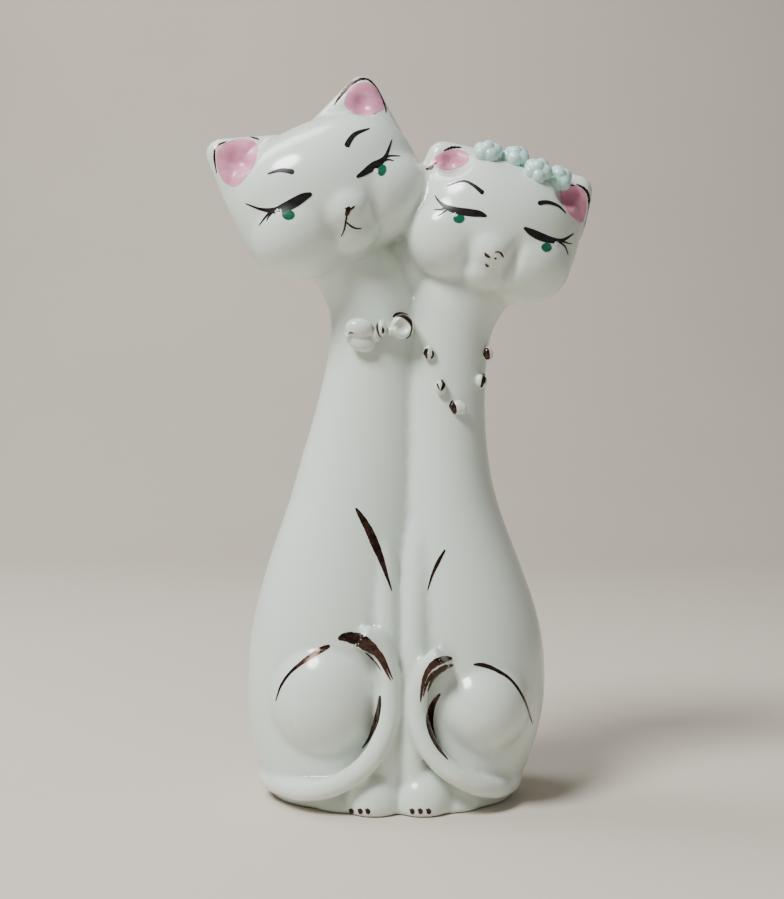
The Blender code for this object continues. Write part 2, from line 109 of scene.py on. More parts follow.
def settle(made):
    """Puts an object's place, turn and scale into its mesh."""
    only(made)
    bpy.ops.object.transform_apply(location=True, rotation=True, scale=True)
    return made


def finish_with(made, kind, **settings):
    """Adds a modifier and applies it."""
    only(made)
    step = made.modifiers.new(kind.lower(), kind)
    for name, value in settings.items():
        setattr(step, name, value)
    bpy.ops.object.modifier_apply(modifier=step.name)
    return made


def joined(name, made):
    deselect()
    for part in made:
        part.select_set(True)
    bpy.context.view_layer.objects.active = made[0]
    if len(made) > 1:
        bpy.ops.object.join()
    whole = bpy.context.object
    whole.name = whole.data.name = name
    return whole


def ball(centre, radii, turn=Matrix.Identity(4), segments=32):
    """A ball pressed to three radii and turned."""
    deselect()
    bpy.ops.mesh.primitive_uv_sphere_add(
        segments=segments, ring_count=segments // 2, radius=1.0,
        location=centre, rotation=turn.to_euler(), scale=radii,
    )
    return settle(bpy.context.object)


# ---- the castings

# One cat's torso from the foot up: share of the height, centre and half-width as shares of the half-width,
# half-depth as a share of the half-depth.
TALL_TORSO = (
    (-0.030, -0.330, 0.470, 0.86),
    (0.000, -0.335, 0.500, 0.90),
    (0.043, -0.372, 0.550, 0.95),
    (0.096, -0.392, 0.583, 0.97),
    (0.171, -0.405, 0.598, 1.00),
    (0.245, -0.403, 0.600, 1.00),
    (0.325, -0.394, 0.583, 0.97),
    (0.400, -0.357, 0.553, 0.90),
    (0.480, -0.311, 0.513, 0.81),
    (0.555, -0.262, 0.462, 0.73),
    (0.635, -0.228, 0.425, 0.645),
    (0.747, -0.175, 0.355, 0.543),
    (0.864, -0.138, 0.305, 0.492),
    (0.930, -0.150, 0.305, 0.480),
    (0.985, -0.230, 0.345, 0.500),
    (1.060, -0.340, 0.350, 0.500),
)
SHORT_TORSO = (
    (-0.030, 0.318, 0.415, 0.86),
    (0.000, 0.320, 0.440, 0.90),
    (0.043, 0.352, 0.488, 0.95),
    (0.096, 0.382, 0.530, 0.97),
    (0.171, 0.408, 0.570, 1.00),
    (0.245, 0.414, 0.572, 1.00),
    (0.325, 0.399, 0.553, 0.97),
    (0.400, 0.373, 0.492, 0.90),
    (0.480, 0.340, 0.418, 0.81),
    (0.555, 0.305, 0.353, 0.73),
    (0.635, 0.288, 0.311, 0.645),
    (0.747, 0.279, 0.294, 0.543),
    (0.864, 0.290, 0.310, 0.492),
    (0.905, 0.330, 0.335, 0.490),
    (0.950, 0.410, 0.370, 0.500),
    (1.030, 0.560, 0.370, 0.500),
)
TORSO_SIDES = 40


def torso(stations):
    """An oval drawn up through the stations, as a potter pulls a wall."""
    up, across, wide, deep = stations[0]
    deselect()
    first = place(across, 0.0, up)
    bpy.ops.mesh.primitive_circle_add(
        vertices=TORSO_SIDES, radius=wide * HALF_WIDTH, fill_type="NGON", location=first
    )
    made = settle(bpy.context.object)
    bpy.ops.object.mode_set(mode="EDIT")
    bpy.ops.mesh.select_all(action="SELECT")
    oval = deep * HALF_DEPTH / (wide * HALF_WIDTH)
    bpy.ops.transform.resize(value=(1.0, oval, 1.0), center_override=first)
    for before, after in zip(stations, stations[1:]):
        centre = place(after[1], 0.0, after[0])
        shift = centre - place(before[1], 0.0, before[0])
        bpy.ops.mesh.extrude_region_move(TRANSFORM_OT_translate={"value": shift})
        swell = (after[2] / before[2], after[3] / before[3], 1.0)
        bpy.ops.transform.resize(value=swell, center_override=centre)
    bpy.ops.mesh.select_all(action="SELECT")
    bpy.ops.mesh.normals_make_consistent(inside=False)
    bpy.ops.object.mode_set(mode="OBJECT")
    return finish_with(made, "SUBSURF", levels=2, render_levels=2)


# Each tail comes round the foot from the back, passes under the thigh and rises inside it.
TALL_TAIL = (
    (-0.05, 0.86, 0.075),
    (-0.42, 0.98, 0.050),
    (-0.74, 0.56, 0.036),
    (-0.86, -0.10, 0.036),
    (-0.74, -0.66, 0.036),
    (-0.54, -1.02, 0.042),
    (-0.35, -1.13, 0.062),
    (-0.18, -1.13, 0.100),
    (-0.085, -1.08, 0.150),
    (-0.055, -1.03, 0.205),
    (-0.065, -1.02, 0.260),
    (-0.125, -1.03, 0.302),
    (-0.240, -1.06, 0.322),
)
SHORT_TAIL = (
    (0.09, 0.86, 0.075),
    (0.42, 0.94, 0.050),
    (0.67, 0.50, 0.034),
    (0.755, -0.10, 0.032),
    (0.67, -0.64, 0.034),
    (0.56, -0.94, 0.044),
    (0.40, -1.10, 0.066),
    (0.245, -1.13, 0.100),
    (0.150, -1.10, 0.145),
    (0.115, -1.05, 0.195),
    (0.145, -1.04, 0.240),
    (0.205, -1.08, 0.268),
    (0.275, -1.12, 0.285),
)
TAIL_RADIUS = 3.7 * MM
TAIL_TIP_SWELL = (1.12, 1.25)

# A foreleg from the shoulder down: across (as a share of the leg's own), depth, height, share of the radius.
FORELEG_RADIUS = 5.0 * MM
FORELEG = (
    (1.9, -0.36, 0.60, 0.8),
    (1.3, -0.62, 0.45, 1.0),
    (1.0, -0.84, 0.28, 1.0),
    (0.8, -0.92, 0.13, 0.9),
    (1.0, -0.90, 0.05, 1.0),
)


def roll(points, radii):
    """A rolled coil of clay on a smooth path, as a mesh."""
    deselect()
    bpy.ops.curve.primitive_bezier_curve_add(location=(0, 0, 0))
    coil = bpy.context.object
    coil.data.bevel_depth = 1.0
    coil.data.bevel_resolution = 6
    coil.data.use_fill_caps = True
    spline = coil.data.splines[0]
    spline.bezier_points.add(len(points) - len(spline.bezier_points))
    for knot in spline.bezier_points:
        knot.handle_left_type = knot.handle_right_type = "AUTO"
    for knot, point, radius in zip(spline.bezier_points, points, radii):
        knot.co, knot.radius = point, radius
    only(coil)
    bpy.ops.object.convert(target="MESH")
    return settle(bpy.context.object)


def tail(path):
    points = [place(*share) for share in path]
    swells = [1.0] * (len(points) - len(TAIL_TIP_SWELL)) + list(TAIL_TIP_SWELL)
    return roll(points, [swell * TAIL_RADIUS for swell in swells])


def foreleg(across):
    points = [place(across * aside, deep, up) for aside, deep, up, _ in FORELEG]
    return roll(points, [share * FORELEG_RADIUS for *_, share in FORELEG])


class Head:
    """A cat's head: its frame, half-sizes, and how far each ear rises over the crown."""

    def __init__(self, centre, size, tilt, turn, ear_rises):
        lean = Matrix.Rotation(math.radians(tilt), 4, "Y") @ Matrix.Rotation(math.radians(turn), 4, "Z")
        self.turn = lean
        self.frame = Matrix.Translation(centre) @ lean
        self.half = Vector(size) * MM / 2
        self.ear_rises = [rise * MM for rise in ear_rises]

    def at(self, across, deep, up):
        """A point at shares of the half-sizes."""
        return self.frame @ Vector((across * self.half.x, deep * self.half.y, up * self.half.z))

    def lump(self, across, deep, up, wide, thick, high, segments=32):
        radii = (wide * self.half.x, thick * self.half.y, high * self.half.z)
        return ball(self.at(across, deep, up), radii, self.turn, segments)


TALL = Head(TALL_HEAD, (70.0, 51.0, 53.0), -26.0, 9.0, (8.0, 8.5))
SHORT = Head(SHORT_HEAD, (62.0, 46.0, 50.0), 17.0, 3.0, (0.0, 3.0))
SKULL_SQUARENESS = 2.5
EAR_THICKNESS = 11.0 * MM
EAR_TIP_RADIUS = 5.8 * MM
EAR_DISH_DEPTH = 2.4 * MM
EAR_DISH_WIDTH = 0.27
EAR_DISH_LEAN = math.radians(24.0)
EAR_DISH_TIP_WEIGHT = 3.4

# The way the faces look along Y.
FACE = -1.0

# Lumps of a face: place, then half-sizes, as shares of the head's half-sizes.
MUZZLE = (0.0, -0.70, -0.40, 0.27, 0.36, 0.32)
CHIN = (0.0, -0.52, -0.68, 0.28, 0.36, 0.26)
CHEEK_ACROSS = 0.43
CHEEK = (-0.24, -0.32, 0.54, 0.70, 0.62)

# Creases beside each muzzle: start and end as shares of the half-sizes, width and depth in millimetres.
CREASES = (
    (SHORT, (0.27, -0.22), (0.24, -0.78), 4.2, 1.9),
    (SHORT, (-0.26, -0.40), (-0.20, -0.82), 4.0, 0.9),
    (TALL, (0.30, -0.34), (0.20, -0.74), 5.0, 0.5),
    (TALL, (-0.30, -0.34), (-0.20, -0.76), 5.0, 0.5),
)
CREASE_FRONT = 0.2


def skull(head):
    """An egg squared off as seen from the front."""
    made = head.lump(0, 0, 0, 1, 1, 1, segments=64)
    back = head.frame.inverted()
    for vert in made.data.vertices:
        point = back @ vert.co
        wide, high = abs(point.x / head.half.x), abs(point.z / head.half.z)
        if wide + high > 0.0:
            square = (wide**SKULL_SQUARENESS + high**SKULL_SQUARENESS) ** (1 / SKULL_SQUARENESS)
            spread = math.hypot(wide, high) / square
            point.x *= spread
            point.z *= spread
        vert.co = head.frame @ point
    return made


def ear_corners(head, side, rise):
    tip = Vector((side * 0.80 * head.half.x, 0.0, head.half.z + rise - EAR_TIP_RADIUS))
    inner = Vector((side * 0.26 * head.half.x, 0.0, 0.84 * head.half.z))
    outer = Vector((side * 0.84 * head.half.x, 0.0, 0.34 * head.half.z))
    return tip, inner, outer


def ear(head, side, rise):
    """The hull of a ball at the ear's tip and one at each foot."""
    deep = EAR_THICKNESS / 2
    balls = []
    for corner, radius in zip(ear_corners(head, side, rise), (EAR_TIP_RADIUS, deep, deep)):
        balls.append(ball(head.frame @ corner, (radius, 0.9 * deep, radius), head.turn))
    made = only(joined("ear", balls))
    bpy.ops.object.mode_set(mode="EDIT")
    bpy.ops.mesh.select_all(action="SELECT")
    bpy.ops.mesh.convex_hull()
    bpy.ops.object.mode_set(mode="OBJECT")
    return made


def head_lumps(head):
    """Skull, puffed cheeks, muzzle, chin and ears of one head."""
    lumps = [skull(head), head.lump(*MUZZLE), head.lump(*CHIN)]
    for side, rise in zip((-1, 1), head.ear_rises):
        lumps.append(head.lump(side * CHEEK_ACROSS, *CHEEK))
        lumps.append(ear(head, side, rise))
    return lumps


def press_crease(made, head, start, end, wide, deep):
    """Draws a blunt tool along the face from start to end, shares of the head's half-sizes."""
    back = head.frame.inverted()
    first = Vector((start[0] * head.half.x, start[1] * head.half.z))
    along = Vector((end[0] * head.half.x, end[1] * head.half.z)) - first
    for vert in made.data.vertices:
        point = back @ vert.co
        behind = FACE * point.y < CREASE_FRONT * head.half.y
        if behind or abs(point.x) > head.half.x or abs(point.z) > head.half.z:
            continue
        share = (Vector((point.x, point.z)) - first).dot(along) / along.length_squared
        share = min(1.0, max(0.0, share))
        away = (Vector((point.x, point.z)) - first - share * along).length / wide
        if away < 1.0:
            fade = math.sin(math.pi * (0.1 + 0.8 * share))
            point.y -= FACE * deep * math.cos(math.pi / 2 * away) ** 2 * fade
            vert.co = head.frame @ point


def press_ear(made, head, side, rise):
    """Presses the shallow dish into the front of an ear."""
    tip, inner, outer = ear_corners(head, side, rise)
    middle = (EAR_DISH_TIP_WEIGHT * tip + inner + outer) / (EAR_DISH_TIP_WEIGHT + 2)
    wide = EAR_DISH_WIDTH * (inner - outer).length
    deep = EAR_THICKNESS
    hollow = FACE * (0.5 * EAR_THICKNESS + deep - EAR_DISH_DEPTH)
    dish = head.frame @ Matrix.Translation(middle) @ Matrix.Rotation(side * EAR_DISH_LEAN, 4, "Y")
    back = dish.inverted()
    for vert in made.data.vertices:
        point = back @ vert.co
        away = math.hypot(point.x / wide, point.z / (1.1 * wide))
        if away < 1.0 and point.y < 0.0:
            floor = hollow + deep * math.sqrt(1.0 - away * away)
            if point.y < floor:
                point.y = floor
                vert.co = dish @ point


def sponge_face(made, head):
    """Blends the muzzle and cheeks into one soft face, leaving the ears and the back as they are."""
    face = made.vertex_groups.new(name="face")
    back = head.frame.inverted()
    for vert in made.data.vertices:
        point = back @ vert.co
        across, deep, up = point.x / head.half.x, FACE * point.y / head.half.y, point.z / head.half.z
        share = min(1.0, (deep - 0.25) / 0.25, (0.95 - abs(across)) / 0.2, (0.75 - abs(up + 0.2)) / 0.2)
        if share > 0.0:
            face.add([vert.index], share, "REPLACE")
    finish_with(made, "SMOOTH", factor=0.5, iterations=FACE_SPONGING, vertex_group="face")
    made.vertex_groups.clear()


# Lumps on the bodies: places as shares of the body, radii in millimetres.
FORELEGS = (-0.075, 0.095)
THIGHS = (((-0.450, -0.50, 0.200), (21.0, 21.5, 23.5)), ((0.520, -0.50, 0.185), (18.0, 20.5, 18.5)))
PAWS = (-0.155, 0.150)
PAW_RADII = Vector((11.0, 12.0, 11.5)) * MM
HAUNCH_ASIDE = 2.1
HAUNCH_RADII = Vector((13.0, 12.0, 7.5)) * MM
WEB_RADII = Vector((14.0, 10.5, 16.0)) * MM


def clay_form():
    """Both bodies and heads as one skin of clay, on a flat foot."""
    lumps = [torso(TALL_TORSO), torso(SHORT_TORSO), tail(TALL_TAIL), tail(SHORT_TAIL)]
    lumps += [foreleg(across) for across in FORELEGS]
    lumps += [ball(place(*spot), Vector(radii) * MM, segments=48) for spot, radii in THIGHS]
    for across in PAWS:
        lumps.append(ball(place(across, -0.80, 0.020), PAW_RADII))
        lumps.append(ball(place(across * HAUNCH_ASIDE, -0.62, 0.000), HAUNCH_RADII))
    lumps.append(ball(FORK + Vector((0.0, 1.0, 0.0)) * MM, WEB_RADII))
    lumps += head_lumps(TALL) + head_lumps(SHORT)
    form = joined("clay_form", lumps)
    finish_with(form, "REMESH", mode="VOXEL", voxel_size=SKIN_VOXEL)
    for head in (TALL, SHORT):
        for side, rise in zip((-1, 1), head.ear_rises):
            press_ear(form, head, side, rise)
    finish_with(form, "SMOOTH", factor=0.5, iterations=SPONGING)
    for head in (TALL, SHORT):
        sponge_face(form, head)
    for head, start, end, wide, deep in CREASES:
        press_crease(form, head, start, end, wide * MM, deep * MM)
    finish_with(form, "SMOOTH", factor=0.5, iterations=2)
    return form


def cut(made, point, normal, keep_above):
    """Cuts a closed mesh through a plane and closes it again."""
    only(made)
    bpy.ops.object.mode_set(mode="EDIT")
    bpy.ops.mesh.select_all(action="SELECT")
    bpy.ops.mesh.bisect(
        plane_co=point, plane_no=normal, use_fill=True, clear_inner=keep_above, clear_outer=not keep_above
    )
    bpy.ops.object.mode_set(mode="OBJECT")
    return made


def copy_of(made, name):
    only(made)
    bpy.ops.object.duplicate(linked=False)
    twin = bpy.context.object
    twin.name = twin.data.name = name
    return twin


FOOT_ROUNDING = 1.6 * MM
FOOT_WIPE = 0.7
UPRIGHT_ENOUGH = 0.3


def round_foot(made):
    """Wipes the edge of the foot round, as a damp sponge does."""
    cut(made, (0.0, 0.0, 0.0), (0.0, 0.0, 1.0), keep_above=True)
    for vert in made.data.vertices:
        low = 1.0 - vert.co.z / FOOT_ROUNDING
        out = Vector((vert.normal.x, vert.normal.y, 0.0))
        if low > 0.0 and out.length > UPRIGHT_ENOUGH:
            wiped = 1.0 - math.sqrt(max(0.0, 1.0 - low * low))
            vert.co -= out.normalized() * FOOT_ROUNDING * wiped * FOOT_WIPE


GLAZE_AND_SHADE_REACH = 60


def mark_glaze_and_shade(made):
    """Marks the hollows, where the glaze gathers and painted shade darkens them, and the edges, where the
    glaze draws thin.
    """
    soft = copy_of(made, "soft_form")
    finish_with(soft, "SMOOTH", factor=0.5, iterations=GLAZE_AND_SHADE_REACH)
    depth = made.data.attributes.new("glaze_and_shade_depth", "FLOAT", "POINT")
    for vert, level in zip(made.data.vertices, soft.data.vertices):
        depth.data[vert.index].value = (level.co - vert.co).dot(vert.normal) / MM
    bpy.data.objects.remove(soft, do_unlink=True)


VENT_RADIUS = 6.0 * MM
HOLLOW_CENTRE = place(0.0, 0.0, 0.19)
HOLLOW_RADII = Vector((0.76 * HALF_WIDTH, 0.72 * HALF_DEPTH, 0.155 * BODY.z))


def bore_vent(made):
    """Opens the casting's hollow through its floor."""
    hollow = ball(HOLLOW_CENTRE, HOLLOW_RADII, segments=48)
    deselect()
    bpy.ops.mesh.primitive_cylinder_add(vertices=64, radius=VENT_RADIUS, depth=0.3 * BODY.z, location=AXIS)
    vent = settle(bpy.context.object)
    for cutter in (hollow, vent):
        finish_with(made, "BOOLEAN", operation="DIFFERENCE", solver="MANIFOLD", object=cutter)
        bpy.data.objects.remove(cutter, do_unlink=True)


# The luted joints: under each head, and between the two cheeks.
TALL_JOINT = math.radians(17.6)
SHORT_JOINT = math.radians(32.8)
CHEEK_JOINT = math.radians(3.4)


def plane_normal(angle):
    return Vector((math.sin(angle), 0.0, math.cos(angle)))


def castings(whole):
    """The body casting and both head castings, parted along the luted joints."""
    over_tall, over_short = plane_normal(-TALL_JOINT), plane_normal(SHORT_JOINT)
    right = Vector((math.cos(CHEEK_JOINT), 0.0, -math.sin(CHEEK_JOINT)))
    body = copy_of(whole, "body_skin")
    cut(cut(body, FORK, over_tall, False), FORK, over_short, False)
    tall = copy_of(whole, "tall_head_skin")
    cut(cut(tall, FORK, over_tall, True), FORK, right, False)
    short = copy_of(whole, "short_head_skin")
    cut(cut(short, FORK, over_short, True), FORK, right, True)
    bore_vent(body)
    for made in (body, tall, short):
        smooth(made)
        finish_with(
            made, "DATA_TRANSFER", object=whole, use_loop_data=True, data_types_loops={"CUSTOM_NORMAL"},
            loop_mapping="POLYINTERP_NEAREST", max_distance=0.2 * MM, use_max_distance=True,
        )
    return body, tall, short


def smooth(made, angle=40.0):
    only(made)
    bpy.ops.object.shade_smooth_by_angle(angle=math.radians(angle))
    return made


# ---- the luted trim

CLAY_VOXEL = 0.30 * MM
FINE_VOXEL = 0.22 * MM


def node_ball(node, centre, radii, tip=0.0, swing=0.0, segments=24):
    """A pressed ball at shares of a node's box, tipped about Y and swung about Z, in degrees."""
    half = size_of(node) / 2
    middle = inside(node, *centre)
    turn = Matrix.Rotation(math.radians(tip), 4, "Y") @ Matrix.Rotation(math.radians(swing), 4, "Z")
    return ball(middle, Vector(share * size for share, size in zip(radii, half)), turn, segments)


def kneaded(name, lumps, hollows=(), voxel=CLAY_VOXEL, steps=2):
    """Lumps of clay pressed into one, with hollows pressed into it."""
    made = joined(name, lumps)
    finish_with(made, "REMESH", mode="VOXEL", voxel_size=voxel)
    for hollow in hollows:
        finish_with(made, "BOOLEAN", operation="DIFFERENCE", solver="MANIFOLD", object=hollow)
        bpy.data.objects.remove(hollow, do_unlink=True)
    if hollows:
        finish_with(made, "REMESH", mode="VOXEL", voxel_size=voxel)
    finish_with(made, "SMOOTH", factor=0.5, iterations=steps)
    return smooth(made, 60.0)


def left_loop():
    """A folded strip: a full upper lobe lapped over a shaded lower one, its end rolled over."""
    node = "bow_left_loop"
    upper = node_ball(node, (0.50, 0.42, 0.69), (0.92, 0.84, 0.60), 4.0)
    lower = node_ball(node, (0.55, 0.62, 0.32), (0.96, 0.74, 0.62), 20.0)
    root = node_ball(node, (1.00, 0.60, 0.50), (0.40, 0.60, 0.44), -16.0)
    scroll = node_ball(node, (0.15, 0.52, 0.47), (0.27, 0.60, 0.28))
    fold = node_ball(node, (0.52, 0.04, 0.385), (0.76, 0.50, 0.07), 2.0)
    curl = node_ball(node, (0.235, 0.02, 0.50), (0.10, 0.34, 0.07), 24.0)
    return kneaded("bow_left_loop_clay", [upper, lower, root, scroll], [fold, curl], steps=3)


def right_loop():
    """A cupped loop, open to the front, with a raised rim."""
    node = "bow_right_loop"
    cup = node_ball(node, (0.54, 0.48, 0.50), (0.92, 0.92, 0.94), -10.0)
    root = node_ball(node, (0.10, 0.54, 0.34), (0.36, 0.66, 0.36), 24.0)
    hollow = node_ball(node, (0.58, -0.06, 0.49), (0.71, 0.80, 0.70), -12.0)
    throat = node_ball(node, (0.26, -0.02, 0.50), (0.34, 0.50, 0.24), 30.0)
    return kneaded("bow_right_loop_clay", [cup, root], [hollow, throat])


def knot():
    """A small oval roll that grips both loops."""
    node = "bow_knot"
    roll_up = node_ball(node, (0.5, 0.5, 0.5), (0.96, 0.96, 0.96))
    nick = node_ball(node, (0.60, -0.04, 0.44), (0.22, 0.30, 0.56), 14.0)
    return kneaded("bow_knot_clay", [roll_up], [nick], voxel=FINE_VOXEL)


PELLET_LEANS = (8.0, -6.0, 14.0, -10.0, 7.0)


def pellet(number):
    """A pinched grain of clay."""
    node = f"necklace_pellet_{number}"
    lean = PELLET_LEANS[number - 1]
    grain = node_ball(node, (0.44, 0.5, 0.5), (0.84, 0.96, 0.96), lean)
    thumb = node_ball(node, (0.64, 0.54, 0.44), (0.70, 0.88, 0.84), -lean)
    return kneaded(f"necklace_pellet_{number}_clay", [grain, thumb], voxel=FINE_VOXEL)


PETALS = 5
PETAL_SHARES = (0.262, 0.262, 0.262, 0.285)
BLOSSOM_TURNS = (6.0, 44.0, -14.0, 22.0)


def blossom(number):
    """Five small balls pressed round a middle one, the ring leaning back from the face."""
    node = f"blossom_{number}"
    half = size_of(node) / 2
    grain = PETAL_SHARES[number - 1] * 2 * half.x
    reach = half - Vector((grain, grain, grain)) * 1.02
    lift = grain * 0.35
    middle = inside(node, 0.5, 0.5, 0.5)
    balls = [ball(middle + Vector((0.0, -lift, lift)), Vector((0.9, 0.9, 0.9)) * grain)]
    for petal in range(PETALS):
        angle = 2 * math.pi * petal / PETALS + math.radians(BLOSSOM_TURNS[number - 1])
        ring = Vector((reach.x * math.cos(angle), reach.y * math.sin(angle), reach.z * math.sin(angle)))
        swell = 1.0 + 0.05 * math.sin(5.0 * petal + number)
        balls.append(ball(middle + ring, Vector((swell, 0.94, 1.0)) * grain))
    return kneaded(f"blossom_{number}_clay", balls, voxel=0.26 * MM, steps=1)


# ---- the overglaze painting

# Strokes are set out in millimetres on an upright sheet through the body's axis, as seen by a painter who
# sits in front of the face of the piece, and then laid back onto the glaze from there.
PAINTER = AXIS + Vector((-2.16, -450.0, 122.6)) * MM
PAINT_THICKNESS = 0.14 * MM
PAINT_SEAT = 0.35
STROKE_STEP = 0.45


class Skin:
    """Finds where a line from the painter meets the finished clay."""

    def __init__(self, made):
        verts, faces = [], []
        for part in made:
            first = len(verts)
            verts += [vert.co.copy() for vert in part.data.vertices]
            faces += [[first + index for index in face.vertices] for face in part.data.polygons]
        self.tree = BVHTree.FromPolygons(verts, faces)

    def lay(self, across, up):
        """The skin's point and outward direction under a place on the sheet."""
        sheet = AXIS + Vector((across, 0.0, up)) * MM
        sight = (sheet - PAINTER).normalized()
        point, out, _, _ = self.tree.ray_cast(PAINTER, sight)
        if point is None:
            point, out, _, _ = self.tree.find_nearest(sheet)
        return point, out


def smooth_path(points, steps, closed=False):
    """Points along a soft curve through the given ones."""
    rows = [Vector(point) for point in points]
    if closed:
        rows = [rows[-1]] + rows + [rows[0], rows[1]]
    else:
        rows = [2 * rows[0] - rows[1]] + rows + [2 * rows[-1] - rows[-2]]
    spans = len(rows) - 3
    found = []
    for step in range(steps + 1):
        along = spans * step / steps
        span = min(int(along), spans - 1)
        t = along - span
        a, b, c, d = rows[span : span + 4]
        bend, twist = 2 * a - 5 * b + 4 * c - d, 3 * b - a - 3 * c + d
        found.append(0.5 * (2 * b + (c - a) * t + bend * t**2 + twist * t**3))
    return found


def film(steps_long, steps_wide, spot, skin):
    """A thin film of paint: a grid laid on the skin where spot(u, v) says, then given thickness."""
    deselect()
    bpy.ops.mesh.primitive_grid_add(x_subdivisions=steps_long, y_subdivisions=steps_wide, size=2.0)
    made = bpy.context.object
    for vert in made.data.vertices:
        across, up = spot((vert.co.x + 1) / 2, (vert.co.y + 1) / 2)
        point, out = skin.lay(across, up)
        if out.dot(PAINTER - point) < 0:
            out = -out
        vert.co = point + out * PAINT_SEAT * PAINT_THICKNESS
    only(made)
    bpy.ops.object.mode_set(mode="EDIT")
    bpy.ops.mesh.select_all(action="SELECT")
    bpy.ops.mesh.remove_doubles(threshold=0.004 * MM)
    bpy.ops.mesh.normals_make_consistent(inside=False)
    bpy.ops.object.mode_set(mode="OBJECT")
    finish_with(made, "SOLIDIFY", thickness=PAINT_THICKNESS, offset=0.0)
    return made


def stroke(skin, *knots, ragged=0.0):
    """A brush stroke through (across, up, width) knots, in millimetres, with rounded ends."""
    path = smooth_path(knots, 60)
    length = sum((Vector(b[:2]) - Vector(a[:2])).length for a, b in zip(path, path[1:]))
    steps = max(8, min(60, int(length / STROKE_STEP)))
    path = smooth_path(knots, steps)

    def spot(u, v):
        step = u * steps
        here = min(int(step), steps - 1)
        point = path[here].lerp(path[here + 1], step - here)
        along = Vector(path[here + 1][:2]) - Vector(path[here][:2])
        side = Vector((-along.y, along.x)).normalized()
        half = max(0.04, point[2] / 2)
        ends = min(u, 1 - u) * length / half
        half *= math.sqrt(max(0.0, 1 - (1 - min(1.0, ends)) ** 2)) + 0.02
        half *= 1 + ragged * math.sin(37 * u + 5 * v) * math.sin(91 * u)
        return point[0] + side.x * half * (2 * v - 1), point[1] + side.y * half * (2 * v - 1)

    return film(steps, 6, spot, skin)


def patch(skin, *corners, rings=7):
    """A filled patch inside a soft closed outline of (across, up) corners, in millimetres."""
    steps = 44
    outline = smooth_path([(*corner, 0.0) for corner in corners], steps, closed=True)
    middle = sum(outline[:-1], Vector((0, 0, 0))) / steps

    def spot(u, v):
        edge = outline[round(u * steps)]
        point = middle.lerp(edge, v)
        return point[0], point[1]

    return film(steps, rings, spot, skin)


def dot(skin, across, up, wide, high=None, tilt=0.0):
    """A round or oval spot."""
    high = high or wide
    turn = Matrix.Rotation(math.radians(tilt), 2)
    rim = []
    for step in range(8):
        angle = math.pi * step / 4
        corner = turn @ Vector((wide * math.cos(angle), high * math.sin(angle)))
        rim.append((across + corner.x, up + corner.y))
    return patch(skin, *rim, rings=4)


def paint(name, coats, slot):
    """One colour's strokes in one area, as one piece that rides on the figure."""
    made = joined(name, coats)
    smooth(made, 50.0)
    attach(made, "root")
    return made


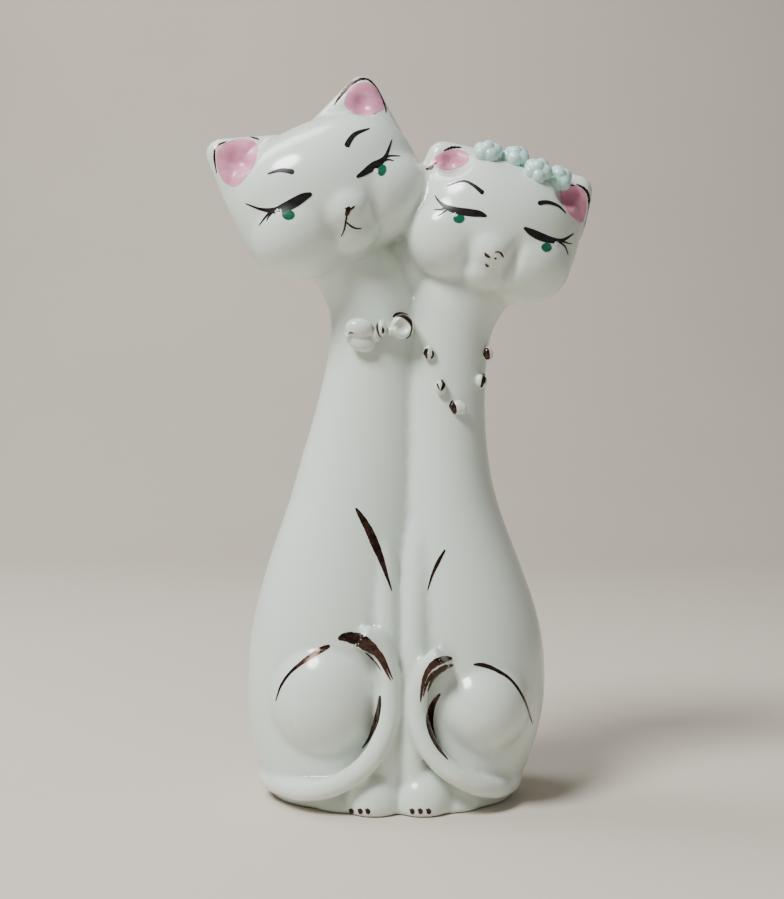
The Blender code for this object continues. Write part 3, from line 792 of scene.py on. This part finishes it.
def tall_face(skin):
    black = [
        stroke(skin, (-47.3, 221.8, 0.4), (-42.5, 223.2, 1.3), (-37.4, 222.5, 2.0)),
        stroke(skin, (-18.7, 231.5, 2.1), (-17.6, 233.8, 1.9), (-15.2, 236.4, 1.5), (-10.1, 238.3, 0.4)),
        stroke(
            skin, (-31.1, 214.8, 1.2), (-34.0, 213.6, 2.9), (-37.4, 211.6, 3.6), (-41.0, 209.8, 3.3),
            (-44.6, 208.7, 2.2), (-49.7, 209.2, 1.0), (-55.4, 211.3, 0.3),
        ),
        stroke(skin, (-45.6, 208.9, 0.9), (-48.0, 206.2, 0.6), (-50.4, 203.1, 0.25)),
        stroke(skin, (-45.0, 208.6, 0.8), (-46.8, 206.4, 0.5), (-47.6, 204.9, 0.25)),
        stroke(
            skin, (-15.1, 220.6, 0.9), (-12.0, 222.5, 2.3), (-8.9, 224.7, 2.9), (-6.0, 226.5, 2.1),
            (-4.2, 228.8, 1.2), (-2.2, 234.4, 0.35),
        ),
        stroke(skin, (-5.4, 227.0, 1.0), (-3.2, 228.3, 0.7), (0.9, 228.3, 0.25)),
        stroke(skin, (-5.2, 226.6, 0.9), (-3.6, 227.0, 0.6), (-1.4, 226.6, 0.25)),
        stroke(skin, (-18.5, 206.9, 0.6), (-18.9, 204.8, 0.7), (-19.4, 202.0, 0.6), (-20.6, 199.1, 0.3)),
        stroke(skin, (-18.8, 204.6, 0.6), (-16.9, 203.0, 0.7), (-15.0, 202.2, 0.6), (-13.0, 202.3, 0.3)),
    ]
    green = [dot(skin, -39.6, 207.1, 2.3, 1.8), dot(skin, -5.8, 223.2, 1.5, 2.1, -20.0)]
    white = [dot(skin, -43.2, 208.3, 1.25, 1.1), dot(skin, -8.0, 222.9, 0.85, 0.95)]
    pink = [
        patch(
            skin, (-65.2, 230.4), (-60.5, 233.8), (-54.6, 234.4), (-51.1, 232.4), (-51.6, 226.4),
            (-54.9, 220.8), (-58.9, 217.4), (-63.2, 219.4), (-65.4, 224.6),
        ),
        patch(
            skin, (-19.2, 248.9), (-16.9, 253.0), (-12.6, 254.8), (-8.9, 253.6), (-5.6, 249.4),
            (-5.2, 245.6), (-10.6, 242.9), (-16.0, 243.9), (-19.0, 245.9),
        ),
    ]
    gold = [
        stroke(skin, (-59.9, 234.9, 0.3), (-55.4, 235.7, 0.8), (-50.0, 234.2, 0.4), ragged=0.4),
        stroke(skin, (-66.3, 230.9, 0.7), (-66.3, 226.6, 0.6), (-65.5, 222.0, 0.25), ragged=0.3),
        stroke(skin, (-61.9, 233.6, 0.3), (-64.6, 232.4, 0.6), (-66.2, 230.6, 0.6)),
        stroke(
            skin, (-23.2, 246.4, 0.4), (-20.6, 250.2, 0.9), (-16.4, 254.6, 1.0), (-11.6, 256.0, 0.7),
            (-7.6, 252.6, 0.4), (-4.8, 246.4, 0.5), (-4.4, 243.8, 0.25), ragged=0.3,
        ),
        stroke(skin, (-17.5, 210.2, 1.2), (-18.2, 208.2, 1.9), (-18.9, 206.6, 1.1), ragged=0.25),
        stroke(skin, (-15.6, 210.4, 0.5), (-17.2, 209.2, 0.9), (-19.4, 209.6, 0.4)),
    ]
    return black, green, white, pink, gold


def short_face(skin):
    black = [
        stroke(skin, (17.5, 217.5, 0.3), (23.4, 219.3, 0.7), (27.2, 217.8, 1.1), (31.0, 214.7, 1.7)),
        stroke(skin, (50.4, 211.3, 1.7), (54.1, 211.6, 1.4), (57.9, 210.3, 0.8), (60.8, 207.6, 0.3)),
        stroke(
            skin, (13.2, 214.3, 0.3), (14.6, 212.2, 0.8), (16.8, 210.3, 1.5), (20.5, 208.8, 2.4),
            (25.4, 208.0, 2.7), (29.4, 207.5, 2.3), (32.2, 206.6, 0.7),
        ),
        stroke(skin, (17.6, 209.8, 0.8), (15.2, 209.0, 0.5), (12.8, 209.1, 0.25)),
        stroke(skin, (18.0, 209.2, 0.7), (16.2, 207.9, 0.4), (14.2, 206.6, 0.25)),
        stroke(
            skin, (45.4, 202.6, 0.8), (48.0, 201.0, 2.4), (51.4, 199.3, 2.9), (55.6, 198.0, 2.2),
            (59.4, 198.0, 1.2), (63.6, 200.4, 0.35),
        ),
        stroke(skin, (57.6, 197.8, 0.9), (60.2, 195.8, 0.5), (61.5, 192.6, 0.25)),
        stroke(skin, (58.4, 197.9, 0.8), (61.0, 197.0, 0.5), (63.0, 196.6, 0.25)),
        stroke(skin, (58.6, 216.8, 0.5), (61.0, 217.9, 0.9), (64.0, 217.6, 0.4)),
    ]
    green = [dot(skin, 22.0, 205.8, 2.1, 1.7), dot(skin, 53.6, 195.4, 1.9, 1.6)]
    white = [dot(skin, 20.6, 207.2, 0.9, 0.7), dot(skin, 57.2, 196.9, 0.8, 0.6)]
    pink = [
        patch(skin, (12.2, 226.2), (15.4, 229.2), (20.2, 230.7), (24.6, 229.6), (25.6, 226.8), (22.4, 224.4),
              (18.3, 223.4), (14.0, 224.2)),
        patch(skin, (58.7, 216.0), (62.4, 218.0), (66.4, 216.6), (68.0, 212.6), (67.6, 207.4), (66.2, 204.3),
              (62.6, 206.8), (59.8, 210.6)),
    ]
    gold = [
        stroke(skin, (9.8, 223.4, 0.4), (12.2, 224.2, 1.1), (14.0, 226.4, 0.5), ragged=0.4),
        stroke(skin, (16.2, 230.0, 0.3), (19.3, 231.3, 0.9), (23.0, 231.4, 0.4), ragged=0.4),
        stroke(skin, (64.4, 218.2, 0.4), (67.4, 216.4, 0.9), (68.9, 213.4, 0.8), (68.9, 208.0, 0.7),
               (67.3, 202.6, 0.3), ragged=0.3),
        stroke(skin, (31.2, 193.6, 0.3), (32.1, 192.5, 1.3), (33.4, 191.6, 0.5), ragged=0.35),
        stroke(skin, (34.8, 193.7, 0.3), (36.9, 193.6, 0.8), (38.2, 191.6, 0.35), ragged=0.35),
        stroke(skin, (31.6, 189.6, 0.4), (32.2, 188.8, 1.0), (33.0, 188.6, 0.4), ragged=0.35),
        dot(skin, 35.2, 191.4, 0.45, 0.35),
    ]
    return black, green, white, pink, gold


def body_gold(skin):
    """Lustre strokes on the chests, the thighs and the raised tail tips, and the claws."""
    chest = [
        stroke(
            skin, (-15.4, 101.6, 0.7), (-13.2, 98.2, 2.0), (-10.6, 93.6, 2.7), (-8.4, 88.6, 2.9),
            (-6.2, 83.2, 2.2), (-4.0, 76.7, 1.1), (-2.2, 71.4, 0.3), ragged=0.06,
        ),
        stroke(skin, (17.1, 86.6, 0.6), (14.6, 82.2, 1.3), (12.4, 77.4, 0.9), (10.6, 71.7, 0.3), ragged=0.08),
        stroke(
            skin, (-24.6, 51.9, 1.0), (-27.4, 50.6, 2.0), (-31.7, 47.9, 1.7), (-38.2, 42.9, 1.0),
            (-42.1, 37.8, 0.8), (-44.3, 31.8, 0.3), ragged=0.08,
        ),
        stroke(
            skin, (-6.5, 34.0, 0.7), (-6.9, 29.6, 1.5), (-8.2, 24.0, 1.9), (-10.4, 18.6, 1.1),
            (-13.1, 14.8, 0.3), ragged=0.05,
        ),
        stroke(
            skin, (15.3, 34.7, 0.8), (12.6, 30.6, 2.0), (11.4, 25.4, 2.6), (12.3, 20.0, 2.1),
            (14.7, 14.9, 1.3), (18.1, 10.7, 0.3), ragged=0.05,
        ),
        stroke(
            skin, (27.2, 45.1, 0.6), (30.6, 44.9, 1.5), (35.2, 43.2, 1.3), (41.0, 39.3, 0.9),
            (45.6, 32.4, 0.7), (48.6, 23.6, 0.3), ragged=0.08,
        ),
    ]
    tails = [
        stroke(
            skin, (-21.8, 54.4, 1.2), (-18.6, 55.0, 3.4), (-14.6, 54.1, 4.6), (-10.8, 51.9, 4.3),
            (-7.2, 48.8, 2.6), (-4.4, 45.0, 1.2), (-1.9, 39.6, 0.3), ragged=0.10,
        ),
        stroke(skin, (-8.4, 51.8, 0.5), (-5.6, 48.4, 0.6), (-3.6, 44.6, 0.25), ragged=0.3),
        stroke(skin, (-12.0, 49.6, 0.6), (-8.6, 46.4, 0.5), (-6.2, 43.0, 0.25), ragged=0.3),
        stroke(skin, (-9.6, 50.4, 1.0), (-6.6, 46.8, 1.2), (-4.2, 42.4, 0.9), (-2.6, 39.2, 0.3), ragged=0.2),
        stroke(
            skin, (19.6, 47.4, 0.8), (16.6, 46.9, 2.4), (13.2, 45.4, 2.6), (10.4, 42.2, 1.8),
            (8.8, 37.2, 1.2), (8.0, 31.4, 0.3), ragged=0.12,
        ),
        stroke(
            skin, (20.2, 45.0, 0.4), (17.0, 44.0, 1.8), (14.0, 42.0, 1.9), (11.8, 38.4, 0.9),
            (10.6, 35.0, 0.3), ragged=0.15,
        ),
        stroke(skin, (15.4, 43.2, 0.7), (12.4, 41.6, 1.3), (10.2, 37.8, 0.9), (9.0, 33.4, 0.3), ragged=0.2),
    ]
    claws = []
    for x in (-16.8, -13.6, -10.9, 5.2, 8.1, 11.1):
        claws.append(stroke(skin, (x - 0.2, -6.7, 0.7), (x, -7.8, 1.7), (x + 0.2, -8.9, 1.3)))
        claws.append(stroke(skin, (x - 1.0, -6.9, 0.35), (x - 0.5, -7.8, 0.5), (x - 0.3, -8.7, 0.4)))
    return chest, tails, claws


def trim_gold(skin):
    """Lustre on the bow and the pellets."""
    return [
        stroke(
            skin, (-2.0, 170.3, 0.5), (-0.2, 171.2, 1.6), (2.2, 170.8, 1.9), (4.0, 169.1, 1.5),
            (4.9, 166.8, 0.6), (4.3, 163.9, 0.4), (2.6, 162.4, 0.3),
        ),
        stroke(skin, (-7.2, 168.4, 0.3), (-7.6, 166.4, 1.0), (-6.9, 163.9, 0.5), (-5.9, 162.9, 0.3)),
        stroke(skin, (-5.6, 166.8, 0.3), (-5.4, 165.4, 0.9), (-5.6, 164.3, 0.3)),
        stroke(skin, (-18.0, 164.2, 0.3), (-17.2, 164.7, 0.5), (-16.0, 164.4, 0.3)),
        stroke(skin, (10.8, 159.3, 0.5), (9.9, 157.6, 1.3), (10.5, 155.2, 0.5), ragged=0.2),
        stroke(skin, (12.3, 158.2, 0.3), (12.7, 156.8, 0.9), (11.7, 155.0, 0.6), ragged=0.3),
        stroke(skin, (15.6, 147.9, 0.5), (16.5, 145.8, 1.3), (15.4, 143.6, 0.5), ragged=0.2),
        stroke(skin, (14.2, 146.8, 0.3), (14.4, 145.4, 0.6), (15.0, 144.0, 0.3), ragged=0.3),
        stroke(skin, (19.5, 140.3, 0.8), (19.8, 138.0, 2.5), (20.8, 135.3, 0.9), ragged=0.12),
        stroke(skin, (30.8, 150.0, 0.5), (31.0, 147.8, 1.5), (29.9, 144.8, 0.6), ragged=0.2),
        stroke(skin, (32.0, 159.3, 0.8), (32.0, 157.2, 2.4), (32.7, 154.6, 0.8), ragged=0.12),
    ]


# ---- finishes


class Nodes:
    """A short way to lay out a node tree."""

    def __init__(self, tree):
        self.tree = tree

    def add(self, kind, inputs=(), **settings):
        made = self.tree.nodes.new(kind)
        for name, value in settings.items():
            setattr(made, name, value)
        for name, value in dict(inputs).items():
            self.plug(made, name, value)
        return made

    def plug(self, made, name, value):
        """Sets an input, given by its name or its number, to a value or to another node's output."""
        socket = made.inputs[name]
        if isinstance(value, bpy.types.NodeSocket):
            self.tree.links.new(value, socket)
        else:
            socket.default_value = value

    def mix(self, share, low, high):
        """A colour between two others. The colour inputs of the node share their names with others."""
        made = self.add("ShaderNodeMix", data_type="RGBA")
        for index, value in ((0, share), (6, low), (7, high)):
            self.plug(made, index, value)
        return made.outputs[2]

    def ramp(self, value, low, high, to_low=0.0, to_high=1.0):
        ends = {"From Min": low, "From Max": high, "To Min": to_low, "To Max": to_high}
        return self.add("ShaderNodeMapRange", {"Value": value, **ends}).outputs[0]

    def maths(self, operation, first, second):
        return self.add("ShaderNodeMath", {0: first, 1: second}, operation=operation).outputs[0]

    def noise(self, where, scale, detail=3.0, roughness=0.55):
        inputs = {"Vector": where, "Scale": scale, "Detail": detail, "Roughness": roughness}
        return self.add("ShaderNodeTexNoise", inputs).outputs["Fac"]


def shared(name, inputs, outputs):
    """A node group with named inputs and outputs, and its two ends."""
    group = bpy.data.node_groups.new(name, "ShaderNodeTree")
    for label, kind, value in inputs:
        group.interface.new_socket(label, in_out="INPUT", socket_type=kind).default_value = value
    for label, kind in outputs:
        group.interface.new_socket(label, in_out="OUTPUT", socket_type=kind)
    nodes = Nodes(group)
    return nodes, nodes.add("NodeGroupInput"), nodes.add("NodeGroupOutput")


def handling_group():
    """Years on a shelf: grey dust on what faces up, finger smears in the gloss, and a few pinholes."""
    nodes, given, taken = shared(
        "handling",
        [("Colour", "NodeSocketColor", (0.8, 0.8, 0.8, 1)), ("Gloss", "NodeSocketFloat", 0.1)],
        [("Colour", "NodeSocketColor"), ("Roughness", "NodeSocketFloat"), ("Height", "NodeSocketFloat")],
    )
    where = nodes.add("ShaderNodeTexCoord").outputs["Object"]
    smears = nodes.ramp(nodes.noise(where, 55.0, 4.0, 0.62), 0.50, 0.74)
    prints = nodes.ramp(nodes.noise(where, 240.0, 3.0), 0.42, 0.70)
    smear = nodes.maths("MULTIPLY", smears, prints)
    facing = nodes.add("ShaderNodeNewGeometry").outputs["Normal"]
    up = nodes.ramp(nodes.add("ShaderNodeSeparateXYZ", {"Vector": facing}).outputs["Z"], 0.35, 1.0)
    motes = nodes.ramp(nodes.noise(where, 900.0, 2.0), 0.46, 0.66)
    dust = nodes.maths("MULTIPLY", nodes.maths("MULTIPLY", up, motes), 0.16)
    cells = nodes.add("ShaderNodeTexVoronoi", {"Vector": where, "Scale": 150.0})
    hole = nodes.ramp(cells.outputs["Distance"], 0.035, 0.055, 1.0, 0.0)
    lottery = nodes.add("ShaderNodeSeparateColor", {"Color": cells.outputs["Color"]})
    pinhole = nodes.maths("MULTIPLY", hole, nodes.ramp(lottery.outputs[0], 0.955, 0.96))
    colour = nodes.mix(dust, given.outputs["Colour"], (0.44, 0.41, 0.37, 1))
    colour = nodes.mix(nodes.maths("MULTIPLY", pinhole, 0.75), colour, (0.16, 0.12, 0.09, 1))
    rough = nodes.maths("ADD", given.outputs["Gloss"], nodes.maths("MULTIPLY", smear, 0.16))
    nodes.plug(taken, "Colour", colour)
    nodes.plug(taken, "Roughness", nodes.maths("ADD", rough, nodes.maths("MULTIPLY", dust, 1.2)))
    ripple = nodes.noise(where, 90.0, 2.0)
    nodes.plug(taken, "Height", nodes.maths("SUBTRACT", ripple, nodes.maths("MULTIPLY", pinhole, 1.5)))
    return nodes.tree


def finish_material(name):
    """A new material, its nodes, its shader and the place on the piece."""
    made = bpy.data.materials.new(name)
    made.use_nodes = True
    nodes = Nodes(made.node_tree)
    shader = made.node_tree.nodes["Principled BSDF"]
    where = nodes.add("ShaderNodeTexCoord").outputs["Object"]
    return made, nodes, shader, where


def handled(nodes, shader, handling, colour, gloss, bump):
    """Puts the shared handling over a colour and sets the shader from it."""
    worn = nodes.add("ShaderNodeGroup", node_tree=handling)
    nodes.plug(worn, "Colour", colour)
    nodes.plug(worn, "Gloss", gloss)
    nodes.plug(shader, "Base Color", worn.outputs["Colour"])
    nodes.plug(shader, "Roughness", worn.outputs["Roughness"])
    relief = {"Height": worn.outputs["Height"], "Strength": bump, "Distance": 0.2 * MM}
    nodes.plug(shader, "Normal", nodes.add("ShaderNodeBump", relief).outputs["Normal"])


def porcelain_finish(handling):
    """Clear glaze over white clay, faintly green and darkened with painted shade in the hollows, and biscuit
    where the foot was wiped.
    """
    made, nodes, shader, where = finish_material("glazed_porcelain")
    depth = nodes.add("ShaderNodeAttribute", attribute_name="glaze_and_shade_depth").outputs["Fac"]
    pooled_glaze_and_shade = nodes.ramp(depth, 0.0, 1.1)
    thin = nodes.ramp(depth, -1.4, -0.1, 1.0, 0.0)
    cloud = nodes.ramp(nodes.noise(where, 14.0, 4.0), 0.3, 0.7)
    body = nodes.mix(cloud, (0.665, 0.760, 0.690, 1), (0.705, 0.785, 0.710, 1))
    # Painted shade: the hollows are darkened towards a deep green-grey, a little of it the green of gathered
    # glaze.
    body = nodes.mix(nodes.maths("MULTIPLY", pooled_glaze_and_shade, 0.85), body, (0.40, 0.455, 0.395, 1))
    body = nodes.mix(nodes.maths("MULTIPLY", thin, 0.25), body, (0.80, 0.80, 0.73, 1))
    specks = nodes.add("ShaderNodeTexVoronoi", {"Vector": where, "Scale": 210.0})
    lottery = nodes.add("ShaderNodeSeparateColor", {"Color": specks.outputs["Color"]})
    speck = nodes.maths("MULTIPLY", nodes.ramp(specks.outputs["Distance"], 0.05, 0.09, 1.0, 0.0),
                        nodes.ramp(lottery.outputs[1], 0.975, 0.98))
    body = nodes.mix(nodes.maths("MULTIPLY", speck, 0.55), body, (0.30, 0.25, 0.19, 1))
    height = nodes.add("ShaderNodeSeparateXYZ", {"Vector": where}).outputs["Z"]
    edge = nodes.maths("ADD", height, nodes.maths("MULTIPLY", nodes.noise(where, 160.0), 0.0005))
    foot = nodes.ramp(edge, 0.0006, 0.0009, 1.0, 0.0)
    grit = nodes.ramp(nodes.noise(where, 700.0, 3.0), 0.35, 0.65)
    biscuit = nodes.mix(grit, (0.56, 0.50, 0.42, 1), (0.68, 0.63, 0.55, 1))
    body = nodes.mix(foot, body, biscuit)
    gloss = nodes.maths("ADD", nodes.ramp(nodes.noise(where, 30.0), 0.3, 0.7, 0.14, 0.22),
                        nodes.maths("MULTIPLY", foot, 0.6))
    handled(nodes, shader, handling, body, gloss, 0.16)
    nodes.plug(shader, "Subsurface Weight", 0.12)
    nodes.plug(shader, "Subsurface Radius", (1.0, 0.9, 0.75))
    nodes.plug(shader, "Subsurface Scale", 1.2 * MM)
    nodes.plug(shader, "Coat Weight", nodes.ramp(foot, 0.0, 1.0, 0.25, 0.0))
    nodes.plug(shader, "Coat Roughness", 0.10)
    return made


# Enamels: the full and the thinned colour, gloss, fineness of the streaks, coat and shine.
ENAMELS = {
    "black_enamel": ((0.006, 0.006, 0.007, 1), (0.020, 0.015, 0.015, 1), 0.30, 320.0, 0.0, 0.18),
    "green_enamel": ((0.006, 0.085, 0.045, 1), (0.014, 0.15, 0.085, 1), 0.22, 420.0, 0.0, 0.3),
    "white_enamel": ((0.90, 0.91, 0.88, 1), (0.84, 0.86, 0.83, 1), 0.25, 500.0, 0.3, 0.5),
    "pink_enamel": ((0.64, 0.22, 0.36, 1), (0.74, 0.35, 0.48, 1), 0.30, 210.0, 0.15, 0.5),
    "pale_blue_glaze": ((0.42, 0.68, 0.63, 1), (0.53, 0.76, 0.71, 1), 0.30, 190.0, 0.2, 0.5),
}


def enamel_finish(handling, name, thick, thinned, gloss, streak_scale, coat, shine):
    """Overglaze enamel laid with a brush: deeper where the brush was full, thinner in its streaks."""
    made, nodes, shader, where = finish_material(name)
    nodes.plug(shader, "Specular IOR Level", shine)
    spread = nodes.add("ShaderNodeMapping", {"Vector": where, "Scale": (1.0, 0.4, 1.6)}).outputs["Vector"]
    streaks = nodes.ramp(nodes.noise(spread, streak_scale, 4.0, 0.6), 0.36, 0.68)
    colour = nodes.mix(streaks, thick, thinned)
    handled(nodes, shader, handling, colour, gloss, 0.25)
    nodes.plug(shader, "Coat Weight", coat)
    nodes.plug(shader, "Coat Roughness", 0.08)
    return made


def lustre_finish(handling):
    """Fired gold lustre, its colour painted near-black red-brown for the dark room its metal reflects, with
    worn, matt patches.
    """
    made, nodes, shader, where = finish_material("dark_gold_lustre")
    blotch = nodes.ramp(nodes.noise(where, 300.0, 4.0, 0.6), 0.40, 0.66)
    fine = nodes.ramp(nodes.noise(where, 1400.0, 3.0, 0.7), 0.50, 0.72)
    # Painted reflection: the metal's colour is the near-black red-brown of a dark room seen in gold, not the
    # colour of the gold itself.
    colour = nodes.mix(blotch, (0.022, 0.014, 0.012, 1), (0.085, 0.036, 0.026, 1))
    colour = nodes.mix(nodes.maths("MULTIPLY", fine, 0.35), colour, (0.26, 0.13, 0.08, 1))
    gloss = nodes.ramp(blotch, 0.0, 1.0, 0.16, 0.30)
    handled(nodes, shader, handling, colour, gloss, 0.35)
    nodes.plug(shader, "Metallic", nodes.ramp(fine, 0.0, 1.0, 0.85, 0.6))
    return made


def floor_finish():
    made, nodes, shader, where = finish_material("studio_floor")
    tone = nodes.ramp(nodes.noise(where, 3.0, 2.0), 0.3, 0.7)
    nodes.plug(shader, "Base Color", nodes.mix(tone, (0.60, 0.545, 0.465, 1), (0.63, 0.57, 0.49, 1)))
    nodes.plug(shader, "Roughness", 0.75)
    return made


# ---- putting it together


def draw_to_size(made):
    """Takes in the fraction of a millimetre that sponging and paint have added to the figure's size."""
    bpy.context.view_layer.update()
    corners = [Vector(corner) for piece in made for corner in piece.bound_box]
    low = Vector(min(corner[axis] for corner in corners) for axis in range(3))
    high = Vector(max(corner[axis] for corner in corners) for axis in range(3))
    shares = [(CAD_HIGH[axis] - CAD_LOW[axis]) / (high[axis] - low[axis]) for axis in range(3)]
    drawn = Matrix.Translation(CAD_LOW) @ Matrix.Diagonal(shares + [1.0]) @ Matrix.Translation(-low)
    for piece in made:
        piece.data.transform(drawn)
        piece.data.update()


# What is painted on each face, in the order in which the faces are painted, and with what.
FACE_COATS = (
    ("brows_and_lashes", "black_enamel"),
    ("irises", "green_enamel"),
    ("eye_lights", "white_enamel"),
    ("ear_insides", "pink_enamel"),
    ("gilding", "dark_gold_lustre"),
)


def build():
    """Models, glazes and paints every piece and hangs it on the frame."""
    handling = handling_group()
    finishes = {"glazed_porcelain": porcelain_finish(handling)}
    for slot, mixed in ENAMELS.items():
        finishes[slot] = enamel_finish(handling, slot, *mixed)
    finishes["dark_gold_lustre"] = lustre_finish(handling)

    form = clay_form()
    round_foot(form)
    mark_glaze_and_shade(form)
    smooth(form)
    body, tall, short = castings(form)
    bpy.data.objects.remove(form, do_unlink=True)
    pieces = {
        "body_casting": body, "tall_cat_head": tall, "short_cat_head": short,
        "bow_left_loop": left_loop(), "bow_right_loop": right_loop(), "bow_knot": knot(),
    }
    for number in range(1, 6):
        pieces[f"necklace_pellet_{number}"] = pellet(number)
    for number in range(1, 5):
        pieces[f"blossom_{number}"] = blossom(number)
    for node, made in pieces.items():
        slot = "pale_blue_glaze" if node.startswith("blossom") else "glazed_porcelain"
        made.data.materials.clear()
        made.data.materials.append(finishes[slot])
        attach(made, "root")
        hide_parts(node)

    skin = Skin([body, tall, short])
    jobs = []
    for cat, face in (("tall_cat", tall_face(skin)), ("short_cat", short_face(skin))):
        jobs += [(f"{cat}_{part}", coats, slot) for (part, slot), coats in zip(FACE_COATS, face)]
    gold = (*body_gold(skin), trim_gold(Skin(list(pieces.values()))))
    names = ("chest_and_thigh_strokes", "tail_tip_strokes", "claw_marks", "bow_gilding")
    jobs += [(name, coats, "dark_gold_lustre") for name, coats in zip(names, gold)]
    painted = [paint(*job) for job in jobs]
    for made, (_, _, slot) in zip(painted, jobs):
        made.data.materials.append(finishes[slot])
    draw_to_size(list(pieces.values()) + painted)


SWEEP_SIZE = 6.0
SWEEP_BACK = 0.9
SWEEP_RADIUS = 0.8


def sweep():
    """A pale floor that curves up behind the figure."""
    deselect()
    bpy.ops.mesh.primitive_grid_add(x_subdivisions=2, y_subdivisions=120, size=SWEEP_SIZE)
    floor = bpy.context.object
    for vert in floor.data.vertices:
        over = vert.co.y - SWEEP_BACK
        if over > 0.0:
            turned = min(over / SWEEP_RADIUS, math.pi / 2)
            vert.co.y = SWEEP_BACK + SWEEP_RADIUS * math.sin(turned)
            vert.co.z = SWEEP_RADIUS * (1.0 - math.cos(turned)) + max(0.0, over - SWEEP_RADIUS * math.pi / 2)
    floor.name = floor.data.name = "studio_floor"
    floor.data.materials.append(floor_finish())
    smooth(floor)


# Lamps: place and aim in metres, breadth in metres, power in watts.
FIGURE_MIDDLE = (0.0, 0.0, 0.125)
LAMPS = {
    "window": ((-0.66, -0.62, 1.16), FIGURE_MIDDLE, 0.50, 29.0),
    "bounce": ((0.80, -0.50, 0.40), FIGURE_MIDDLE, 0.90, 0.4),
    "backdrop": ((-0.60, 0.30, 1.30), (0.1, 1.6, 0.3), 0.90, 16.0),
}
AIR_COLOUR = (0.80, 0.80, 0.78, 1)
AIR_STRENGTH = 0.21
LENS = 50.06
FILM_HEIGHT = 36.0


def studio():
    """Soft light from high on the left, and the camera."""
    sweep()
    world = bpy.data.worlds.new("studio")
    world.use_nodes = True
    bpy.context.scene.world = world
    air = world.node_tree.nodes["Background"]
    air.inputs["Color"].default_value = AIR_COLOUR
    air.inputs["Strength"].default_value = AIR_STRENGTH
    for name, (spot, aim, breadth, power) in LAMPS.items():
        lamp = bpy.data.lights.new(name, "AREA")
        lamp.shape, lamp.size, lamp.energy = "DISK", breadth, power
        placed = bpy.data.objects.new(name, lamp)
        bpy.context.scene.collection.objects.link(placed)
        placed.location = spot
        placed.rotation_euler = (Vector(aim) - Vector(spot)).to_track_quat("-Z", "Y").to_euler()
    lens = bpy.data.cameras.new("camera")
    lens.lens, lens.sensor_fit = LENS, "VERTICAL"
    lens.sensor_height = lens.sensor_width = FILM_HEIGHT
    camera = bpy.data.objects.new("camera", lens)
    bpy.context.scene.collection.objects.link(camera)
    camera.location = PAINTER
    camera.rotation_euler = (math.pi / 2, 0.0, 0.0)
    bpy.context.scene.camera = camera


build()
studio()
